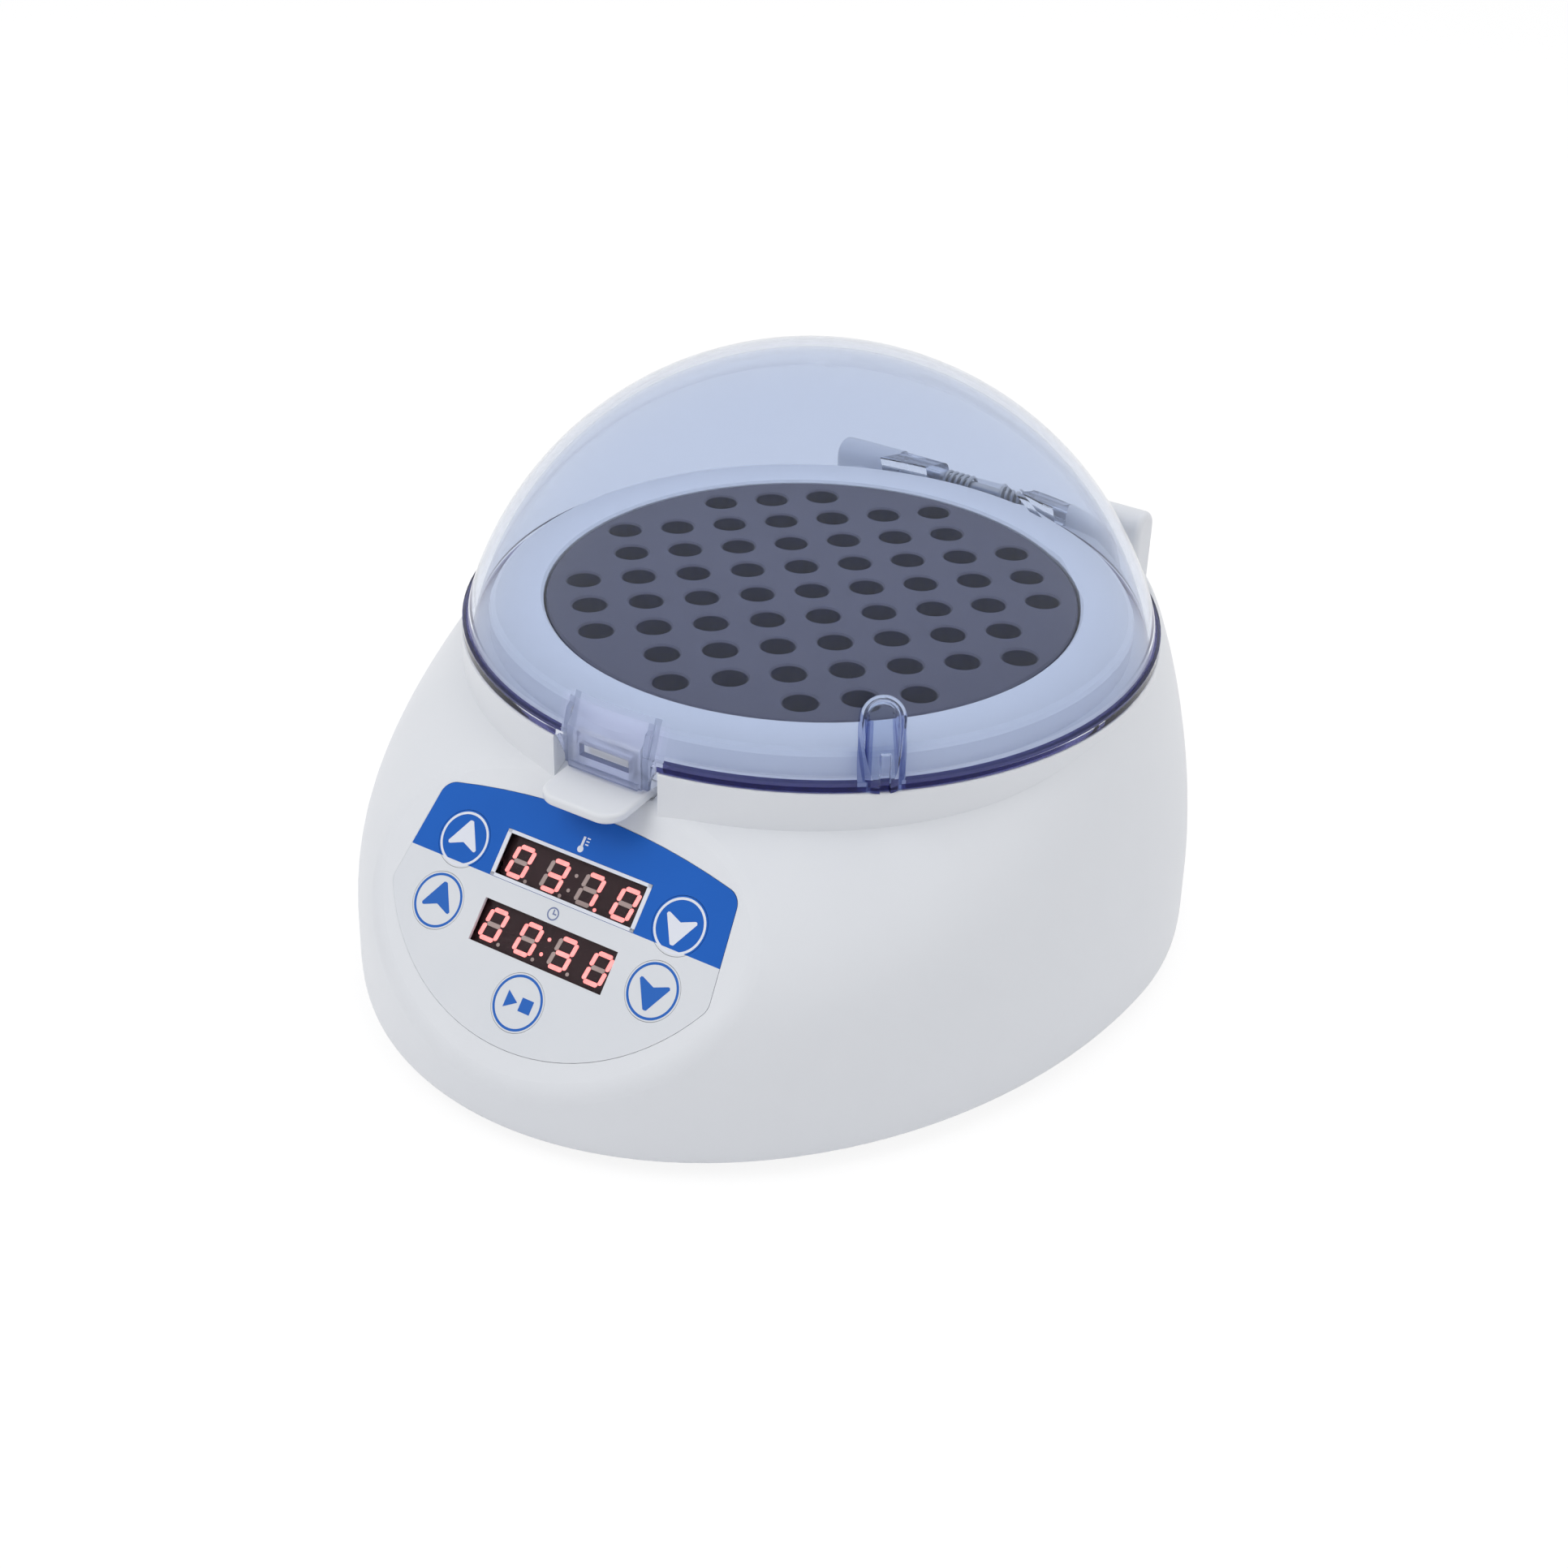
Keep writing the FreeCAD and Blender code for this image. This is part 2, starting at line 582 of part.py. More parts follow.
def port_cutter():
    """The flat pocket in the back with the two cut-outs behind it."""
    shapes = [port_pocket(0.0)]
    for x, size in ((INLET_X, INLET_BODY), (SWITCH_X, SWITCH_BODY)):
        hole = (size[0] + 2 * PORT_GAP, 4 * WALL, size[1] + 2 * PORT_GAP)
        shapes.append(block_of(x, PORT_Y, hole, PORT_Z - hole[2] / 2))
    return shapes[0].multiFuse(shapes[1:])


def make_cover():
    outer = faceted_lump()
    inner = body_lump(WALL, BODY_BOTTOM - 0.01, BODY_ROOF - WALL).cut(beyond_panel(WALL))
    band = disc(BAND_R, FACE_HEIGHT - BAND_BOTTOM_DROP, LEDGE_Z)
    band = band.makeFillet(BAND_EDGE, [e for e in band.Edges if e.BoundBox.ZMin > LEDGE_Z - 0.01])
    notch = box(-NOTCH_HALF_WIDTH, NOTCH_HALF_WIDTH, BLOCK_Y - BAND_R - 2, BLOCK_Y - NOTCH_BACK,
                FACE_HEIGHT - BAND_BOTTOM_DROP - 1, LEDGE_Z + 1)
    tower = hinge_tower()
    shell = outer.fuse([band.cut(notch), tower, mirrored(tower)])
    opening = disc(COLLAR_R - WALL, BODY_ROOF - 14, LEDGE_Z + 1)
    shell = shell.cut(inner.fuse(opening))
    backing = port_pocket(WALL).common(outer)
    bosses = [case_boss(x, y).common(outer) for x, y in CASE_SCREWS]
    bed = box(-TOWER_SPAN[1], TOWER_SPAN[1], HINGE_Y - BED_AHEAD, HINGE_Y + BED_BEHIND, HINGE_Z - BED_DEPTH,
              LEDGE_Z).common(outer)
    shell = shell.fuse([collar_ring(), backing, bed] + bosses)
    stems = [on_panel(Part.makeCylinder(PANEL_STEM_R, -MODULE_BACK - WALL + 0.5, Vector(u, v, MODULE_BACK)))
             for u, v in PANEL_SCREWS]
    shell = shell.fuse(stems)
    shell = shell.cut(panel_cutter())
    shell = shell.cut(port_cutter())
    shell = shell.cut(slider_cutter())
    small = [upright(SCREW_R, x, y, PLATE_TOP, PLATE_TOP + 14) for x, y in CASE_SCREWS]
    small += [on_panel(Part.makeCylinder(PANEL_SCREW_R, 5, Vector(u, v, MODULE_BACK - 0.1))) for u, v in PANEL_SCREWS]
    small.append(across(PIN_R + PIN_GAP, -TOWER_SPAN[1] + 1.2, TOWER_SPAN[1] - 1.2, HINGE_Y, HINGE_Z))
    small.append(across(LUG_R + HINGE_ROOM, -TOWER_SPAN[0], TOWER_SPAN[0], HINGE_Y, HINGE_Z))
    shell = shell.cut(small)
    seat_low = FACE_HEIGHT - TAB_TOP_DROP - TAB_THICKNESS - 3
    seat = box(-SPRING_SEAT_HALF, SPRING_SEAT_HALF, BLOCK_Y - SPRING_SEAT,
               BLOCK_Y - SPRING_SEAT + SPRING_SEAT_THICKNESS, seat_low, DECK_Z - WALL + 0.1)
    return shell.fuse(seat)


def make_base_plate():
    outline = body_outline(BODY_BOTTOM, WALL + PLATE_GAP)
    plate = Part.Face(outline).extrude(Vector(0, 0, PLATE_THICKNESS))
    posts = [upright(STANDOFF_R, x, y, BODY_BOTTOM + 1, BOARD_BOTTOM) for x, y in BOARD_SCREWS]
    plate = plate.multiFuse(posts)
    cutters = [upright(SCREW_R, x, y, BODY_BOTTOM - 1, PLATE_TOP + 1) for x, y in PILLARS + CASE_SCREWS]
    cutters += [upright(HEAD_SINK_R, x, y, BODY_BOTTOM - 1, BODY_BOTTOM + HEAD_SINK_DEPTH)
                for x, y in PILLARS + CASE_SCREWS]
    cutters += [upright(BOARD_SCREW_R, x, y, BODY_BOTTOM + HEAD_SINK_DEPTH, BOARD_BOTTOM + 1)
                for x, y in BOARD_SCREWS]
    for number in range(PLATE_SLOTS):
        x = (number - (PLATE_SLOTS - 1) / 2) * PLATE_SLOT_PITCH
        cutters.append(block_of(x, BLOCK_Y, (PLATE_SLOT[0], PLATE_SLOT[1], PLATE_THICKNESS + 2), BODY_BOTTOM - 1))
    return plate.cut(cutters)


def make_feet():
    feet = []
    for x, y in FEET:
        pad = Part.makeCone(FOOT_R - 1, FOOT_R, FOOT_HEIGHT, Vector(x, y, 0))
        feet.append(pad)
    return Part.makeCompound(feet)


def screw(x, y, tip_z):
    """A slotted screw driven up from below, its head sunk in the base plate."""
    head_z = BODY_BOTTOM + 0.2
    head = upright(SCREW_HEAD_R, x, y, head_z, head_z + SCREW_HEAD_HEIGHT)
    shank = upright(SCREW_R, x, y, head_z + SCREW_HEAD_HEIGHT, tip_z)
    slot = box(x - SCREW_HEAD_R, x + SCREW_HEAD_R, y - 0.3, y + 0.3, head_z - 1, head_z + 0.5)
    return head.fuse(shank).cut(slot)


def make_case_screws():
    return Part.makeCompound([screw(x, y, PLATE_TOP + 12) for x, y in CASE_SCREWS])


def make_pillar_screws():
    return Part.makeCompound([screw(x, y, PLATE_TOP + 8) for x, y in PILLARS])


def make_pillars():
    pillars = []
    for x, y in PILLARS:
        post = upright(PILLAR_R, x, y, PLATE_TOP, CLAMP_BOTTOM)
        stud = upright(STUD_R, x, y, CLAMP_BOTTOM, BLOCK_BOTTOM + STUD_GRIP - 0.5)
        bore = upright(SCREW_R, x, y, PLATE_TOP, PLATE_TOP + 10)
        pillars.append(post.fuse(stud).cut(bore))
    return Part.makeCompound(pillars)


def make_block():
    block = disc(BLOCK_R, BLOCK_BOTTOM, FACE_HEIGHT)
    block = block.makeChamfer(0.6, [e for e in block.Edges if e.BoundBox.ZLength < 0.01])
    cutters = [well_cutter(x, y) for x, y in well_places()]
    cutters += [upright(STUD_R, x, y, BLOCK_BOTTOM, BLOCK_BOTTOM + STUD_GRIP) for x, y in PILLARS]
    cutters.append(Part.makeCylinder(PROBE_R, PROBE_LENGTH, Vector(-BLOCK_R - 10, BLOCK_Y, PROBE_Z), Vector(1, 0, 0)))
    return block.cut(cutters)


def drilled_disc(radius, z0, z1, holes):
    plate = disc(radius, z0, z1)
    return plate.cut([upright(r, x, y, z0 - 1, z1 + 1) for r, x, y in holes])


def make_heater():
    return drilled_disc(HEATER_R, HEATER_BOTTOM, BLOCK_BOTTOM, [(STUD_R, x, y) for x, y in PILLARS])


def make_clamp():
    holes = [(STUD_R, x, y) for x, y in PILLARS]
    holes += [(WIRE_R + 0.4, LEAD_X, y) for y in LEAD_Y]
    return drilled_disc(CLAMP_R, CLAMP_BOTTOM, HEATER_BOTTOM, holes)


def make_felt():
    holes = [(PILLAR_R, x, y) for x, y in PILLARS]
    holes += [(WIRE_R + 0.4, LEAD_X, y) for y in LEAD_Y]
    holes.append((CUTOUT_R + 0.5, -LEAD_X, BLOCK_Y))
    return drilled_disc(SLEEVE_R, FELT_BOTTOM, CLAMP_BOTTOM, holes)


def make_sleeve():
    top = FACE_HEIGHT - SLEEVE_TOP_DROP
    ring = turned([(SLEEVE_INNER_R, CLAMP_BOTTOM), (SLEEVE_R, CLAMP_BOTTOM), (SLEEVE_R, top), (SLEEVE_INNER_R, top)])
    return ring.cut(Part.makeCylinder(PROBE_R, 20, Vector(-BLOCK_R - 10, BLOCK_Y, PROBE_Z), Vector(1, 0, 0)))


def make_probe():
    tip_x = -BLOCK_R - 10 + PROBE_LENGTH - 0.5
    sheath = Part.makeCylinder(PROBE_R, PROBE_LENGTH - 4.5, Vector(tip_x - PROBE_LENGTH + 4.5, BLOCK_Y, PROBE_Z),
                               Vector(1, 0, 0))
    return sheath


def make_cutout():
    can = upright(CUTOUT_R, -LEAD_X, BLOCK_Y, CLAMP_BOTTOM - CUTOUT_HEIGHT, CLAMP_BOTTOM)
    legs = [box(-LEAD_X + dx - 0.4, -LEAD_X + dx + 0.4, BLOCK_Y - 2, BLOCK_Y + 2,
                CLAMP_BOTTOM - CUTOUT_HEIGHT - 4, CLAMP_BOTTOM - CUTOUT_HEIGHT + 0.5) for dx in (-4, 4)]
    return can.multiFuse(legs)


def make_main_board():
    board = block_of(0, BLOCK_Y, (MAIN_BOARD[0], MAIN_BOARD[1], BOARD_THICKNESS), BOARD_BOTTOM)
    cutters = [upright(PILLAR_R + 0.5, x, y, BOARD_BOTTOM - 1, BOARD_TOP + 1) for x, y in PILLARS]
    cutters += [upright(1.3, x, y, BOARD_BOTTOM - 1, BOARD_TOP + 1) for x, y in BOARD_SCREWS]
    return board.cut(cutters)


def make_board_screws():
    screws = []
    for x, y in BOARD_SCREWS:
        head = upright(BOARD_SCREW_HEAD_R, x, y, BOARD_TOP, BOARD_TOP + 1.6)
        screws.append(head.fuse(upright(BOARD_SCREW_R, x, y, BOARD_TOP - 7, BOARD_TOP)))
    return Part.makeCompound(screws)


def on_board(place, size, rise=0.0):
    """A box that stands on the main board."""
    return block_of(place[0], BLOCK_Y + place[1], size, BOARD_TOP + rise)


def make_transformer():
    core = on_board(TRANSFORMER_PLACE, TRANSFORMER_CORE)
    return core.fuse(on_board(TRANSFORMER_PLACE, TRANSFORMER_BOBBIN, 2.5))


def make_relay():
    case = on_board(RELAY_PLACE, RELAY_SIZE)
    return case.makeFillet(0.8, case.Edges)


def make_capacitor():
    x, y = CAPACITOR_PLACE
    can = upright(CAPACITOR_R, x, BLOCK_Y + y, BOARD_TOP, BOARD_TOP + CAPACITOR_HEIGHT)
    return can.makeFillet(0.8, [can.Edges[0], can.Edges[2]])


def make_heat_sink():
    x, y = HEAT_SINK_PLACE
    back = on_board(HEAT_SINK_PLACE, HEAT_SINK_BACK)
    fins = [on_board((x - 5.0, y + dy), HEAT_SINK_FIN) for dy in HEAT_SINK_FINS]
    return back.multiFuse(fins + [on_board((x + 3.6, y), TRIAC_SIZE)])


def make_terminal_block():
    case = on_board((LEAD_X, 0.0), TERMINAL_SIZE)
    return case.cut([upright(WIRE_R + 0.1, LEAD_X, y, BOARD_TOP + 5, BOARD_TOP + 11) for y in LEAD_Y])


def make_fuse_clips():
    clips = []
    for dy in CLIP_PLACES:
        cheek = on_board((FUSE_X, dy), CLIP_SIZE)
        groove = Part.makeCylinder(FUSE_R + 0.05, 8, Vector(FUSE_X, BLOCK_Y + dy - 4, BOARD_TOP + FUSE_RISE),
                                   Vector(0, 1, 0))
        mouth = on_board((FUSE_X, dy), (4.0, 6.0, 6.0), FUSE_RISE)
        clips.append(cheek.cut([groove, mouth]))
    return Part.makeCompound(clips)


def make_fuse():
    start = Vector(FUSE_X, BLOCK_Y - FUSE_LENGTH / 2, BOARD_TOP + FUSE_RISE)
    return Part.makeCylinder(FUSE_R, FUSE_LENGTH, start, Vector(0, 1, 0))


def make_buzzer():
    x, y = BUZZER_PLACE
    can = upright(BUZZER_R, x, BLOCK_Y + y, BOARD_TOP, BOARD_TOP + BUZZER_HEIGHT)
    return can.cut(upright(1, x, BLOCK_Y + y, BOARD_TOP + 5, BOARD_TOP + BUZZER_HEIGHT + 1))


def make_display_board():
    size = (DISPLAY_BOARD[0], DISPLAY_BOARD[1])
    board = window_block(size, DISPLAY_BOARD_MIDDLE, 0, MODULE_BACK - BOARD_THICKNESS, MODULE_BACK)
    holes = [Part.makeCylinder(1.1, 6, Vector(u, v, MODULE_BACK - 3)) for u, v in PANEL_SCREWS]
    return on_panel(board.cut(holes))


def make_display_screws():
    screws = []
    for u, v in PANEL_SCREWS:
        head_n = MODULE_BACK - BOARD_THICKNESS - 1.5
        head = Part.makeCylinder(2.0, 1.5, Vector(u, v, head_n))
        shank = Part.makeCylinder(PANEL_SCREW_R, BOARD_THICKNESS + 4, Vector(u, v, head_n + 1.5))
        screws.append(on_panel(head.fuse(shank)))
    return Part.makeCompound(screws)


def make_module(row):
    return on_panel(window_block(MODULE_SIZE, row, 0, MODULE_BACK, MODULE_BACK + MODULE_SIZE[2]))


def make_tact_switches():
    switches = []
    for u, v in KEY_PLACES.values():
        case = box(u - TACT_SIZE[0] / 2, u + TACT_SIZE[0] / 2, v - TACT_SIZE[1] / 2, v + TACT_SIZE[1] / 2,
                   MODULE_BACK, MODULE_BACK + TACT_SIZE[2])
        button = Part.makeCylinder(TACT_BUTTON_R, 1.2, Vector(u, v, MODULE_BACK + TACT_SIZE[2]))
        switches.append(on_panel(case.fuse(button)))
    return Part.makeCompound(switches)


def make_overlay():
    film = panel_prism(0.0, -RECESS_DEPTH, OVERLAY_THICKNESS - RECESS_DEPTH)
    cutters = [window_block(TEMP_WINDOW, TEMP_ROW, 0, -2, 2), window_block(TIME_WINDOW, 0.0, 0, -2, 2)]
    cutters += [Part.makeCylinder(KEY_R + KEY_GAP, 4, Vector(u, v, -2)) for u, v in KEY_PLACES.values()]
    return on_panel(film.cut(cutters))


def make_panes():
    panes = []
    for size, row in ((TEMP_WINDOW, TEMP_ROW), (TIME_WINDOW, 0.0)):
        pane = window_block(size, row, -FILM_GAP, -RECESS_DEPTH, -RECESS_DEPTH + PANE_THICKNESS)
        panes.append(on_panel(pane))
    return Part.makeCompound(panes)


def make_key(u, v):
    """One key: a disc level with the film and a stem that reaches down to its switch."""
    button_top = MODULE_BACK + TACT_SIZE[2] + 1.2
    cap = Part.makeCylinder(KEY_R, OVERLAY_THICKNESS, Vector(u, v, -RECESS_DEPTH))
    stem_end = button_top + KEY_TRAVEL + 0.1
    stem = Part.makeCylinder(KEY_STEM_R, -RECESS_DEPTH - stem_end + 0.1, Vector(u, v, stem_end))
    return on_panel(cap.fuse(stem))


def inlet_outline():
    """The socket's mouth, seen from behind: a rectangle with two cut corners."""
    half_x = INLET_SOCKET[0] / 2
    half_z = INLET_SOCKET[1] / 2
    cut = INLET_CORNER
    points = [(-half_x, -half_z), (half_x, -half_z), (half_x, half_z - cut), (half_x - cut, half_z),
              (cut - half_x, half_z), (-half_x, half_z - cut)]
    return [(INLET_X + x, PORT_Z + z) for x, z in points]


def make_inlet():
    flange = block_of(INLET_X, PORT_Y + INLET_FLANGE[2] / 2, (INLET_FLANGE[0], INLET_FLANGE[2], INLET_FLANGE[1]),
                      PORT_Z - INLET_FLANGE[1] / 2)
    body = block_of(INLET_X, PORT_Y - INLET_BODY[2] / 2, (INLET_BODY[0], INLET_BODY[2], INLET_BODY[1]),
                    PORT_Z - INLET_BODY[1] / 2)
    mouth_y = PORT_Y + INLET_FLANGE[2]
    outline = [Vector(x, mouth_y - INLET_SOCKET[2], z) for x, z in inlet_outline()]
    outline.append(outline[0])
    socket = Part.Face(Part.makePolygon(outline)).extrude(Vector(0, INLET_SOCKET[2] + 1, 0))
    solid = flange.fuse(body).cut(socket)
    return solid.cut(make_inlet_pins())


def make_inlet_pins():
    blades = []
    for dx, dz in INLET_PINS:
        front = PORT_Y + INLET_FLANGE[2] - 3
        back = PORT_Y - INLET_BODY[2] - PIN_TAIL
        x = INLET_X + dx
        z = PORT_Z + dz
        blades.append(box(x - 1, x + 1, back, front, z - 2, z + 2))
    return Part.makeCompound(blades)


def make_switch_frame():
    bezel = block_of(SWITCH_X, PORT_Y + SWITCH_BEZEL[2] / 2, (SWITCH_BEZEL[0], SWITCH_BEZEL[2], SWITCH_BEZEL[1]),
                     PORT_Z - SWITCH_BEZEL[1] / 2)
    body = block_of(SWITCH_X, PORT_Y - SWITCH_BODY[2] / 2, (SWITCH_BODY[0], SWITCH_BODY[2], SWITCH_BODY[1]),
                    PORT_Z - SWITCH_BODY[1] / 2)
    well_x = ROCKER_HALF_WIDTH + ROCKER_GAP
    well_z = ROCKER_R + ROCKER_GAP
    well = box(SWITCH_X - well_x, SWITCH_X + well_x, PORT_Y - 9, PORT_Y + SWITCH_BEZEL[2] + 1,
               PORT_Z - well_z, PORT_Z + well_z)
    pivot = across(ROCKER_PIVOT_R + PIN_GAP, SWITCH_X - well_x - 0.8, SWITCH_X + well_x + 0.8, ROCKER_AXIS_Y, PORT_Z)
    tags = [block_of(SWITCH_X, PORT_Y - SWITCH_BODY[2] - 4, (0.8, 9, 5), PORT_Z + dz) for dz in (-8, 3)]
    return bezel.fuse(body).cut([well, pivot]).multiFuse(tags)


def make_rocker():
    """The switch's rocker: a barrel with a face bent in the middle, on two small pivots."""
    barrel = across(ROCKER_R, SWITCH_X - ROCKER_HALF_WIDTH, SWITCH_X + ROCKER_HALF_WIDTH, ROCKER_AXIS_Y, PORT_Z)
    slope = math.tan(math.radians(ROCKER_TILT))
    reach = ROCKER_R + 1
    middle_y = ROCKER_AXIS_Y + 2.6
    end_y = middle_y + reach * slope
    keep = prism_yz([(ROCKER_AXIS_Y - 2.5, PORT_Z - reach), (end_y, PORT_Z - reach), (middle_y, PORT_Z),
                     (end_y, PORT_Z + reach), (ROCKER_AXIS_Y - 2.5, PORT_Z + reach)],
                    SWITCH_X - ROCKER_HALF_WIDTH, SWITCH_X + ROCKER_HALF_WIDTH)
    pivot = across(ROCKER_PIVOT_R, SWITCH_X - ROCKER_HALF_WIDTH - 0.9, SWITCH_X + ROCKER_HALF_WIDTH + 0.9,
                   ROCKER_AXIS_Y, PORT_Z)
    rocker = barrel.common(keep).fuse(pivot)
    rocker.rotate(Vector(SWITCH_X, ROCKER_AXIS_Y, PORT_Z), Vector(1, 0, 0), ROCKER_TILT)
    return rocker


def latch_block():
    """The block on the lid's front that the latch is cut from, with its sloping roof."""
    face = BLOCK_Y - BOSS_FACE
    back = face + BOSS_DEPTH
    bottom = FACE_HEIGHT - BOSS_DROP
    shoulder = FACE_HEIGHT - BOSS_SHOULDER_DROP
    roof = FACE_HEIGHT + BOSS_ROOF_RISE
    block = prism_yz([(face, bottom), (face, shoulder), (face + BOSS_ROOF_BACK, roof), (back, roof), (back, bottom)],
                     -BOSS_HALF_WIDTH, BOSS_HALF_WIDTH)
    brow = [e for e in block.Edges if e.BoundBox.YMax < face + 0.01 and e.BoundBox.ZMin > shoulder - 0.01]
    return block.makeFillet(BOSS_EDGE, brow)


def latch_fin():
    """The cheek at the right of the latch block, which rises a little above its roof."""
    front = BLOCK_Y - BOSS_FACE + FIN_SET_BACK
    back = BLOCK_Y - BOSS_FACE + BOSS_DEPTH
    bottom = FACE_HEIGHT - BOSS_DROP
    brow = FACE_HEIGHT - BOSS_SHOULDER_DROP
    top = FACE_HEIGHT + FIN_RISE
    return prism_yz([(front, bottom), (front, brow), (front + 1.0, top - 1.0), (front + 2.4, top), (back, top),
                     (back, bottom)], BOSS_HALF_WIDTH, BOSS_HALF_WIDTH + FIN_THICKNESS)


def latch_apron():
    """Below the rim: the face's wall with its bottom lip, and the wings that slope up to the rim."""
    face = BLOCK_Y - BOSS_FACE
    bottom = FACE_HEIGHT - BOSS_DROP
    wall = box(-BOSS_HALF_WIDTH, BOSS_HALF_WIDTH, face, face + BOSS_WALL, bottom, RIM_Z + 1)
    lip = box(-BOSS_HALF_WIDTH + BOSS_EDGE, BOSS_HALF_WIDTH - BOSS_EDGE, face - BOSS_LIP, face + BOSS_WALL,
              bottom, bottom + BOSS_LIP_HEIGHT)
    outline = [Vector(x, face + WING_SET_BACK, z) for x, z in (
        (-WING_HALF_WIDTH, RIM_Z + 1), (WING_HALF_WIDTH, RIM_Z + 1), (WING_HALF_WIDTH, RIM_Z),
        (BOSS_HALF_WIDTH, bottom), (-BOSS_HALF_WIDTH, bottom), (-WING_HALF_WIDTH, RIM_Z))]
    outline.append(outline[0])
    wings = Part.Face(Part.makePolygon(outline)).extrude(Vector(0, BOSS_WALL, 0))
    return wall.multiFuse([lip, wings])


def latch_openings():
    """The room behind the latch's face for the catch nose, and the window in the face."""
    face = BLOCK_Y - BOSS_FACE
    half = BOSS_HALF_WIDTH - BOSS_WALL
    room = box(-half, half, face + BOSS_WALL, face + BOSS_DEPTH + 1, FACE_HEIGHT - BOSS_DROP - 1,
               FACE_HEIGHT - BOSS_SHOULDER_DROP - BOSS_WALL)
    window = box(-WINDOW_HALF_WIDTH, WINDOW_HALF_WIDTH, face - 1, face + BOSS_WALL + 1,
                 FACE_HEIGHT - WINDOW_BOTTOM_DROP, FACE_HEIGHT - WINDOW_TOP_DROP)
    return [room, window]


def lid_lug():
    """One clear hinge lug with its web to the dome's back."""
    barrel = across(LUG_R, LUG_SPAN[0], LUG_SPAN[1], HINGE_Y, HINGE_Z)
    front = BLOCK_Y + RIM_R - 12
    web = prism_yz([(front, RIM_Z), (HINGE_Y, RIM_Z), (HINGE_Y, HINGE_Z + LUG_R), (front, HINGE_Z + LUG_R + 4)],
                   LUG_SPAN[0], LUG_SPAN[1])
    return barrel.fuse(web)


def lid_nub():
    """The small hollow grip on the dome, beside the front."""
    angle = math.radians(NUB_AZIMUTH)
    x = NUB_CENTRE_R * math.sin(angle)
    y = BLOCK_Y - NUB_CENTRE_R * math.cos(angle)
    top = RIM_Z + NUB_HEIGHT - NUB_R
    outer = upright(NUB_R, x, y, RIM_Z, top).fuse(Part.makeSphere(NUB_R, Vector(x, y, top)))
    inner_r = NUB_R - NUB_WALL
    inner = upright(inner_r, x, y, RIM_Z - 1, top).fuse(Part.makeSphere(inner_r, Vector(x, y, top)))
    slot = box(-NUB_SLOT / 2, NUB_SLOT / 2, -NUB_R - 1, 0, RIM_Z - 1, RIM_Z + NUB_HEIGHT * 0.45)
    slot.Placement = Placement(Vector(x, y, 0), Rotation(Vector(0, 0, 1), NUB_AZIMUTH))
    return outer.cut([inner, slot])


def make_lid():
    ball = Part.makeSphere(DOME_R, DOME_CENTRE)
    hollow = Part.makeSphere(DOME_R - LID_WALL, DOME_CENTRE)
    above_rim = disc(RIM_R + 20, RIM_Z, DOME_TOP_Z + 5)
    bead = disc(RIM_R + RIM_BEAD * 0.4, RIM_Z, RIM_Z + RIM_BEAD_HEIGHT)
    flat = box(-WING_HALF_WIDTH, WING_HALF_WIDTH, BLOCK_Y - RIM_R - 2, BLOCK_Y - BOSS_FACE + WING_SET_BACK,
               RIM_Z - 1, FACE_HEIGHT)
    shell = ball.common(above_rim).fuse(bead).cut(flat)
    fin = latch_fin()
    lug = lid_lug()
    shell = shell.fuse([lid_nub(), latch_block(), fin, mirrored(fin), lug, mirrored(lug)])
    shell = shell.cut(hollow).fuse(latch_apron())
    pin_hole = across(PIN_R + PIN_GAP, -LUG_SPAN[1] - 1, LUG_SPAN[1] + 1, HINGE_Y, HINGE_Z)
    return shell.cut(latch_openings() + [pin_hole]).removeSplitter()


def make_hinge_pin():
    half = TOWER_SPAN[1] - 1.5
    return across(PIN_R, -half, half, HINGE_Y, HINGE_Z)


def torsion_coil(x0, x1):
    """The coil of one torsion spring round the hinge pin."""
    pitch = (x1 - x0 - 2 * SPRING_WIRE_R) / SPRING_COIL_TURNS
    helix = Part.makeHelix(pitch, pitch * SPRING_COIL_TURNS, SPRING_COIL_R)
    ring = Part.Wire([Part.makeCircle(SPRING_WIRE_R, Vector(SPRING_COIL_R, 0, 0), Vector(0, 1, 0))])
    coil = Part.Wire(helix.Edges).makePipeShell([ring], True, True)
    coil.Placement = Placement(Vector(x0 + SPRING_WIRE_R, HINGE_Y, HINGE_Z), Rotation(Vector(0, 1, 0), 90))
    return coil


def make_hinge_springs():
    right = torsion_coil(SPRING_SPAN[0], SPRING_SPAN[1])
    return Part.makeCompound([right, mirrored(right)])


